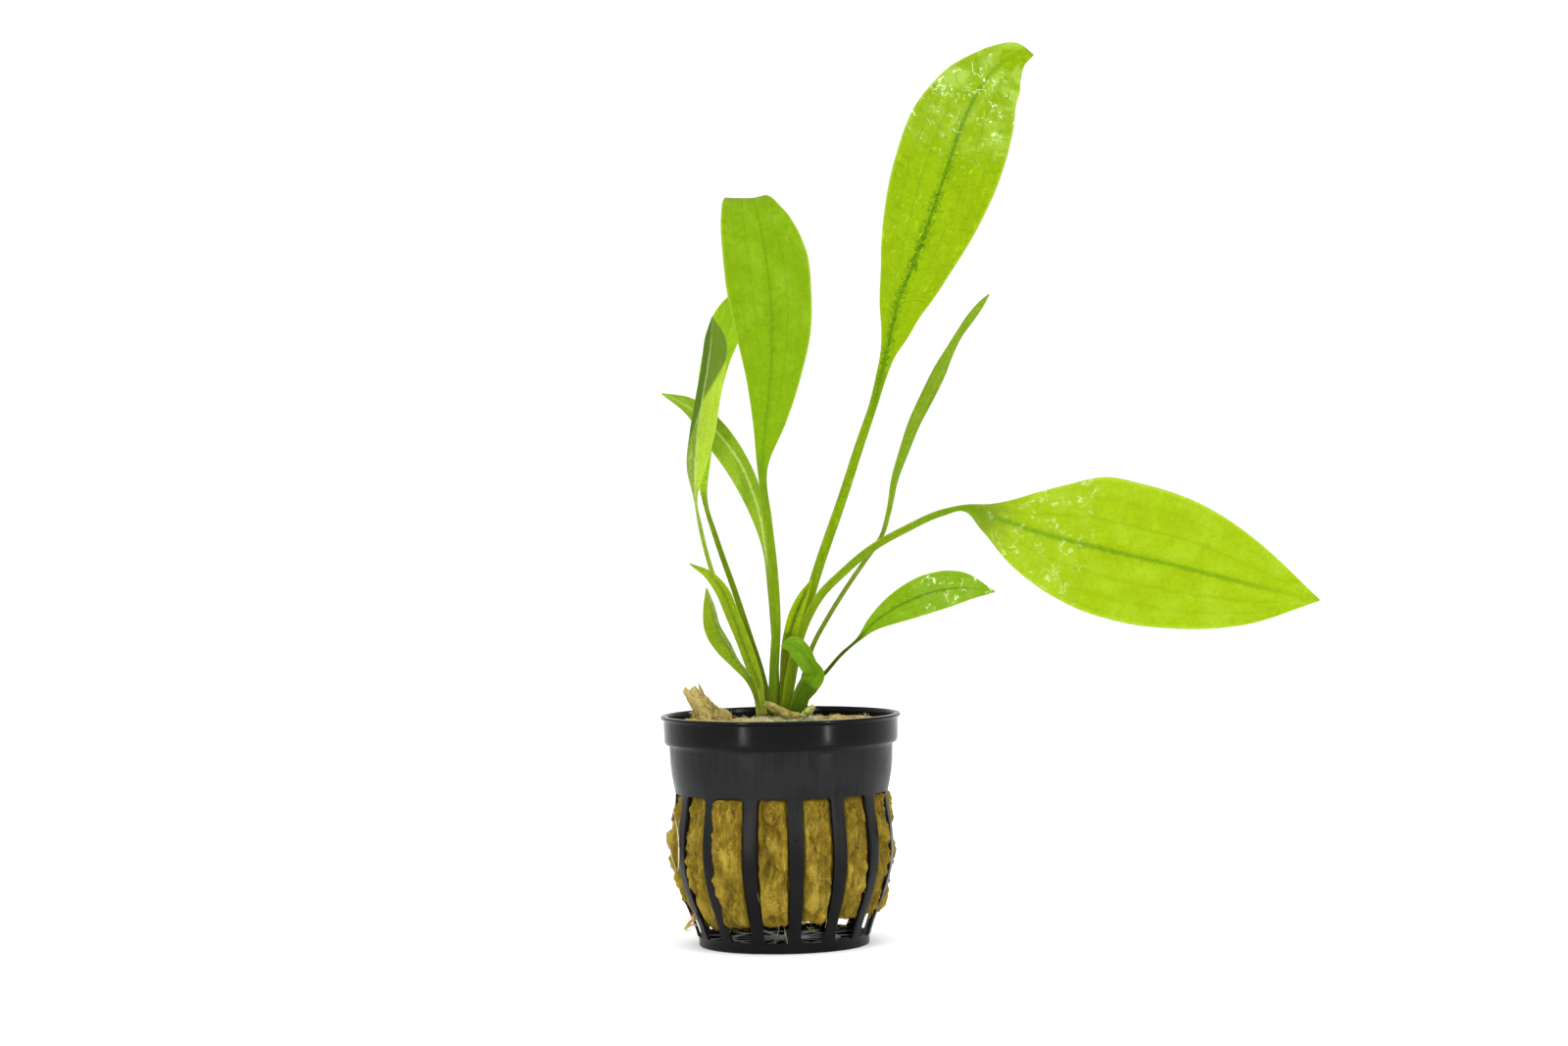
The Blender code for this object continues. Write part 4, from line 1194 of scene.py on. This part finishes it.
@dataclass
class WoolFlake:
    """The torn scrap that stands up at the left of the crown, with a ragged two-pointed end."""

    centre: tuple = (-16.6, 51.9)
    depth: float = -3.0
    half_thickness: float = 1.5
    # Its torn outline, x and z, round from the left prong.
    outline: tuple = (
        (-21.1, 55.4), (-20.4, 56.4), (-19.6, 55.5), (-18.9, 56.3), (-18.3, 56.6), (-17.7, 57.2),
        (-17.4, 55.3), (-16.4, 54.6), (-15.2, 53.3), (-14.3, 52.5), (-13.4, 51.8), (-11.6, 51.4),
        (-10.4, 50.1), (-10.9, 48.2), (-14.0, 47.6), (-18.0, 47.6), (-19.4, 49.2), (-19.2, 50.6),
        (-19.0, 51.5), (-19.6, 52.6), (-20.3, 54.0),
    )
    fibres: int = 420
    seed: int = 5
    finish: WoolFinish = WoolFinish(
        "torn_wool", dark=(0.078, 0.046, 0.008), middle=(0.215, 0.158, 0.034), light=(0.39, 0.32, 0.10)
    )

    def build(self) -> None:
        """Builds the scrap and its fibres, and ties both to the frame."""
        shape = bmesh.new()
        bmesh.ops.create_icosphere(shape, subdivisions=6, radius=1)
        ball = np.array([vertex.co for vertex in shape.verts])
        faces = [tuple(corner.index for corner in face.verts) for face in shape.faces]
        shape.free()
        points, depth = self.formed(ball)
        flake = mesh_piece("torn_scrap", points, faces, self.finish.material(), wool_depth=depth)
        settle(flake, Slot.WOOL, "wool_flake")
        chance = np.random.default_rng(self.seed)
        picks = chance.choice(len(ball), self.fibres, replace=False)
        outward = unit(ball[picks] * (1, 1, 0.8) + chance.normal(0, 0.5, (self.fibres, 3)))
        length = chance.uniform(0.3, 1.1, self.fibres)[:, None]
        bend = chance.normal(0, 0.35, (self.fibres, 3))
        paths = arcs(points[picks] - outward * 0.1, outward * length, bend, 5)
        finish = StrandFinish("scrap_fibre", (0.30, 0.22, 0.05), (0.70, 0.60, 0.28)).material()
        settle(strands("scrap_fibres", paths, chance.uniform(0.018, 0.032, self.fibres), finish), Slot.WOOL)

    def formed(self, ball: np.ndarray) -> tuple:
        """The ball's points drawn out to the torn outline.

        Args:
            ball: rows of x, y, z one long.

        Returns:
            Rows of x, y, z, and how far each stands out of the scrap round it.
        """
        edge = np.array(self.outline) - self.centre
        angle = np.arctan2(edge[:, 1], edge[:, 0])
        order = np.argsort(angle)
        angle, reach = angle[order], np.hypot(edge[:, 0], edge[:, 1])[order]
        turn = np.arctan2(ball[:, 2], ball[:, 0])
        wide = np.interp(turn, angle, reach, period=FULL_TURN)
        spread = np.hypot(ball[:, 0], ball[:, 2]) ** 0.8 * wide
        rough = lumps(ball * (5, 2, 5), 1.6, 5, 4.0)
        x = self.centre[0] + spread * np.cos(turn)
        z = self.centre[1] + spread * np.sin(turn)
        low = ease(z, 55.5, 50.0)
        y = self.depth + ball[:, 1] * self.half_thickness * (0.35 + 0.65 * low)
        y = y + 0.75 * rough * (0.4 + 0.6 * low) - 0.25 * np.sin(1.7 * x + 0.6 * z)
        return np.stack([x, y, z], 1), rough


# ---- crown


@dataclass
class Crown:
    """The short rhizome and the old bases round it, with pale roots that show."""

    wool: WoolPlug
    radius: float = 5.6
    foot: float = 44.0
    top: float = 49.6
    sheath: tuple = ((-3.4, -6.9, 52.6), (-2, -7.3, 52), (0, -7.6, 51), (2, -7.4, 50.2), (4.4, -7, 49.9))
    stub: tuple = ((4.6, -7.5, 49.7), (5.8, -7.7, 50.6), (7.3, -7.8, 52.1))
    top_roots: int = 90
    # Each root down the left side and under the plug: its radius, then its points.
    side_roots: tuple = (
        (0.16, (-23.4, -7.0, 30), (-22.9, -8.2, 27.5), (-22.4, -9.4, 25),
         (-22.3, -9.9, 22), (-22.4, -9.6, 19), (-22.6, -9, 17)),
        (0.12, (-24.3, -4.4, 27), (-24.5, -4.6, 24.5), (-24.4, -4.8, 22.5),
         (-24, -5, 20), (-23.4, -5.4, 18), (-22.8, -6, 15)),
        (0.14, (-19.4, -8, 7.0), (-20.2, -8.3, 5.8), (-21.2, -8.6, 4.7),
         (-21.0, -8.8, 4.2), (-20.4, -8.9, 4.4), (-19.8, -9, 5)),
        (0.1, (-1.1, -14, 6), (-1.2, -14.3, 4.6), (-1.5, -14.6, 3.6),
         (-1.8, -14.7, 2.6), (-2, -14.8, 1.9), (-2.1, -14.8, 1.5)),
        (0.09, (-0.2, -13.5, 6), (0.1, -13.9, 4.8), (0.2, -14.2, 3.8),
         (0.5, -14.4, 2.9), (0.6, -14.5, 2.2), (0.7, -14.6, 1.6)),
    )
    wisp_strands: int = 26
    # The frayed wisp at the plug's lower left: its foot and tip, and how far its strands stray from each.
    wisp_foot: tuple = ((-18.9, -8.6, 6.6), (0.25, 0.3, 0.75))
    wisp_tip: tuple = ((-21.2, -9.2, 4.7), (0.35, 0.3, 0.3))
    seed: int = 21

    def build(self) -> None:
        """Builds the crown, the dry sheath, the cut stub and the roots."""
        self.build_knob()
        dry = StrandFinish("dry_sheath", (0.09, 0.075, 0.008), (0.34, 0.30, 0.06), 0.7).material()
        olive = StrandFinish("olive_stub", (0.13, 0.15, 0.02), (0.32, 0.34, 0.08), 0.5).material()
        settle(self.strap("curled_sheath", self.sheath, 1.0, 0.14, dry), Slot.DRY, "dead_sheath")
        settle(self.strap("trimmed_stub", self.stub, 0.9, 0.35, olive), Slot.CROWN, "cut_stub")
        self.build_roots()

    def build_knob(self) -> None:
        """Builds the knobby rhizome under the leaves."""
        sides, levels = 72, np.linspace(0, 1, 26)
        circle = polar(np.linspace(0, FULL_TURN, sides, endpoint=False), 1, 0)
        rings = []
        for level in levels:
            height = self.foot + (self.top - self.foot) * level
            reach = self.radius * max(math.sin(math.pi * (0.18 + 0.80 * level)) ** 0.5, 0.05)
            knobs = 1 + 0.10 * lumps(circle * 3 + (0, 0, height * 0.7), 1.6, 4, 6.0)
            rings.append(circle * (reach * knobs)[:, None] + (0, 0, height))
        finish = StrandFinish("crown_flesh", (0.16, 0.15, 0.04), (0.5, 0.48, 0.2), 0.55).material()
        points = np.concatenate(rings)
        points[:, :2] = points[:, :2].clip(-self.radius, self.radius)
        settle(mesh_piece("rhizome", points, tube_faces(len(rings), sides), finish), Slot.CROWN, "crown")

    @staticmethod
    def strap(name: str, path: tuple, half_width: float, half_thickness: float,
              finish: bpy.types.Material) -> bpy.types.Object:
        """Makes a torn strap of tissue along a path.

        Args:
            name: the piece's name.
            path: points x, y, z.
            half_width: half its width.
            half_thickness: half its thickness.
            finish: its material.

        Returns:
            The strap.
        """
        rows = smooth(path, 10)
        along = unit(np.gradient(rows, axis=0))
        wide = unit(np.cross(along, (0.0, 1.0, 0.2)))
        thin = np.cross(along, wide)
        turn = np.linspace(0, FULL_TURN, 16, endpoint=False)
        across, up = np.cos(turn), np.sin(turn)
        rings = []
        for i, row in enumerate(rows):
            share = i / (len(rows) - 1)
            fray = 1 + 0.25 * noise.noise(Vector((i * 0.5, half_width, 0)))
            reach = half_width * fray * (0.55 + 0.45 * math.sin(math.pi * (0.15 + 0.8 * share)))
            curl = 0.35 * across**2 * half_width
            curl = curl + 0.35 * lumps(np.stack([across, turn * 0 + i * 0.12, turn * 0], 1), 0.7, 3, 1.0)
            ring = row + np.outer(across * reach, wide[i])
            rings.append(ring + np.outer(up * half_thickness - curl, thin[i]))
        return mesh_piece(name, np.concatenate(rings), tube_faces(len(rings), 16), finish)

    def build_roots(self) -> None:
        """Builds the pale roots: on the wool round the crown, down the left side and under the plug."""
        chance = np.random.default_rng(self.seed)
        count, steps = self.top_roots, 9
        turn = chance.uniform(0, FULL_TURN, count)[:, None]
        near = chance.uniform(4.5, 8.0, count)[:, None]
        reach = chance.uniform(1.5, 6.0, count)[:, None]
        drift = chance.uniform(-0.5, 0.5, count)[:, None]
        t = np.linspace(0, 1, steps)
        wiggle = 0.3 * np.sin(9 * t + turn * 5)
        paths = polar(turn + drift * t**1.5 + wiggle * 0.05, near + reach * t, 0)
        ground = self.wool.top_height(paths.reshape(-1, 3)).reshape(count, steps)
        rise = chance.uniform(0.2, 1.6, count)[:, None] * (1 - t) ** 2
        paths[:, :, 2] = ground + 0.45 * np.sin(math.pi * t) + rise + 0.15 * wiggle
        pale = StrandFinish("pale_root", (0.40, 0.36, 0.18), (0.72, 0.70, 0.48), 0.5).material()
        settle(strands("crown_roots", paths, chance.uniform(0.05, 0.11, count), pale), Slot.CROWN)

        fine = np.stack([smooth(path, 4) for _, *path in self.side_roots])
        radii = np.array([radius for radius, *_ in self.side_roots])
        settle(strands("side_roots", fine, radii, pale), Slot.CROWN)

        count = self.wisp_strands
        ends = (self.wisp_foot, self.wisp_tip)
        foot, tip = (np.array(middle) + chance.normal(0, 1, (count, 3)) * stray for middle, stray in ends)
        t = np.linspace(0, 1, fine.shape[1])[None, :, None]
        wisp = foot[:, None] * (1 - t) + tip[:, None] * t + (0, 0, 0.4) * np.sin(math.pi * t)
        tan = StrandFinish("tan_wisp", (0.42, 0.27, 0.09), (0.70, 0.52, 0.26), 0.7).material()
        settle(strands("frayed_wisp", wisp, chance.uniform(0.08, 0.16, count), tan), Slot.WOOL)


# ---- studio


@dataclass(frozen=True)
class SoftBox:
    """A rectangular light that faces the plant: its place and size in metres, and its power in watts."""

    name: str
    place: Point
    size: tuple
    watts: float
    highest_aim_m: float = 0.27

    def build(self) -> None:
        """Adds the light."""
        light = bpy.data.lights.new(self.name, "AREA")
        light.shape = "RECTANGLE"
        light.size, light.size_y = self.size
        light.energy = self.watts
        lamp = bpy.data.objects.new(self.name, light)
        lamp.location = self.place
        aim = Vector((0, 0, min(self.place[2], self.highest_aim_m))) - Vector(self.place)
        lamp.rotation_euler = aim.to_track_quat("-Z", "Y").to_euler()
        lamp.visible_camera = False
        bpy.context.scene.collection.objects.link(lamp)


@dataclass
class Studio:
    """The pale floor, the soft light and the camera."""

    lens_mm: float = 90.0
    eye: Point = (1.49, -850.0, 107.0)
    pitch: float = math.radians(1.053)
    roll: float = math.radians(1.0)
    floor_half_m: float = 6.0
    surround: float = 1.08
    # Two tall lights beside the camera, a broad one overhead and one in front.
    boxes: tuple = (
        SoftBox("left_box", (-0.21, -0.29, 0.13), (0.016, 0.26), 0.5),
        SoftBox("right_box", (0.25, -0.25, 0.13), (0.016, 0.26), 0.5),
        SoftBox("top_box", (0.0, -0.1, 1.6), (1.6, 1.6), 13),
        SoftBox("front_box", (0.0, -1.7, 0.9), (1.3, 1.0), 7),
    )

    def build(self) -> None:
        """Sets the stage, the light and the camera."""
        self.build_floor()
        self.build_surround()
        for box in self.boxes:
            box.build()
        self.build_camera()

    def build_floor(self) -> None:
        """A wide plain floor at the height that the pot stands on."""
        half = self.floor_half_m
        mesh = bpy.data.meshes.new("floor")
        corners = [(-half, -half, 0), (half, -half, 0), (half, half, 0), (-half, half, 0)]
        mesh.from_pydata(corners, [], [(0, 1, 2, 3)])
        g = Graph("pale_floor")
        grain = g.noise(g.object_space(), 30, 3)
        tone = g.ramp(grain, (0.3, (0.93, 0.93, 0.93)), (0.7, (0.96, 0.96, 0.96)))
        g.feed(g.shader, Base_Color=tone, Roughness=0.9)
        mesh.materials.append(g.material)
        floor = bpy.data.objects.new("floor", mesh)
        bpy.context.scene.collection.objects.link(floor)

    def build_surround(self) -> None:
        """White surroundings, shown as they are."""
        world = bpy.data.worlds.new("white_surround")
        world.use_nodes = True
        back = world.node_tree.nodes["Background"]
        back.inputs["Color"].default_value = (1, 1, 1, 1)
        back.inputs["Strength"].default_value = self.surround
        bpy.context.scene.world = world
        bpy.context.scene.view_settings.view_transform = "Standard"

    def build_camera(self) -> None:
        """A long lens in front of the plant, pitched and rolled a degree."""
        data = bpy.data.cameras.new("camera")
        data.lens = self.lens_mm
        data.sensor_width = 36
        data.clip_end = 100
        camera = bpy.data.objects.new("camera", data)
        ahead = Vector((0, math.cos(self.pitch), -math.sin(self.pitch)))
        level_up = Vector((0, math.sin(self.pitch), math.cos(self.pitch)))
        right = Vector((1, 0, 0)) * math.cos(self.roll) - level_up * math.sin(self.roll)
        up = level_up * math.cos(self.roll) + Vector((1, 0, 0)) * math.sin(self.roll)
        turn = Matrix((right, up, -ahead)).transposed().to_4x4()
        camera.matrix_world = Matrix.Translation(Vector(self.eye) * MM) @ turn
        bpy.context.scene.collection.objects.link(camera)
        bpy.context.scene.camera = camera


def main() -> None:
    """Builds the plant and its stage, piece by piece."""
    logging.basicConfig(level=logging.INFO, format="%(name)s: %(message)s")
    pot = NetPot()
    wool = WoolPlug(pot)
    for piece in (pot, wool, WoolFlake(), Crown(wool), *LEAVES, Studio()):
        piece.build()


if __name__ == "__main__":
    main()
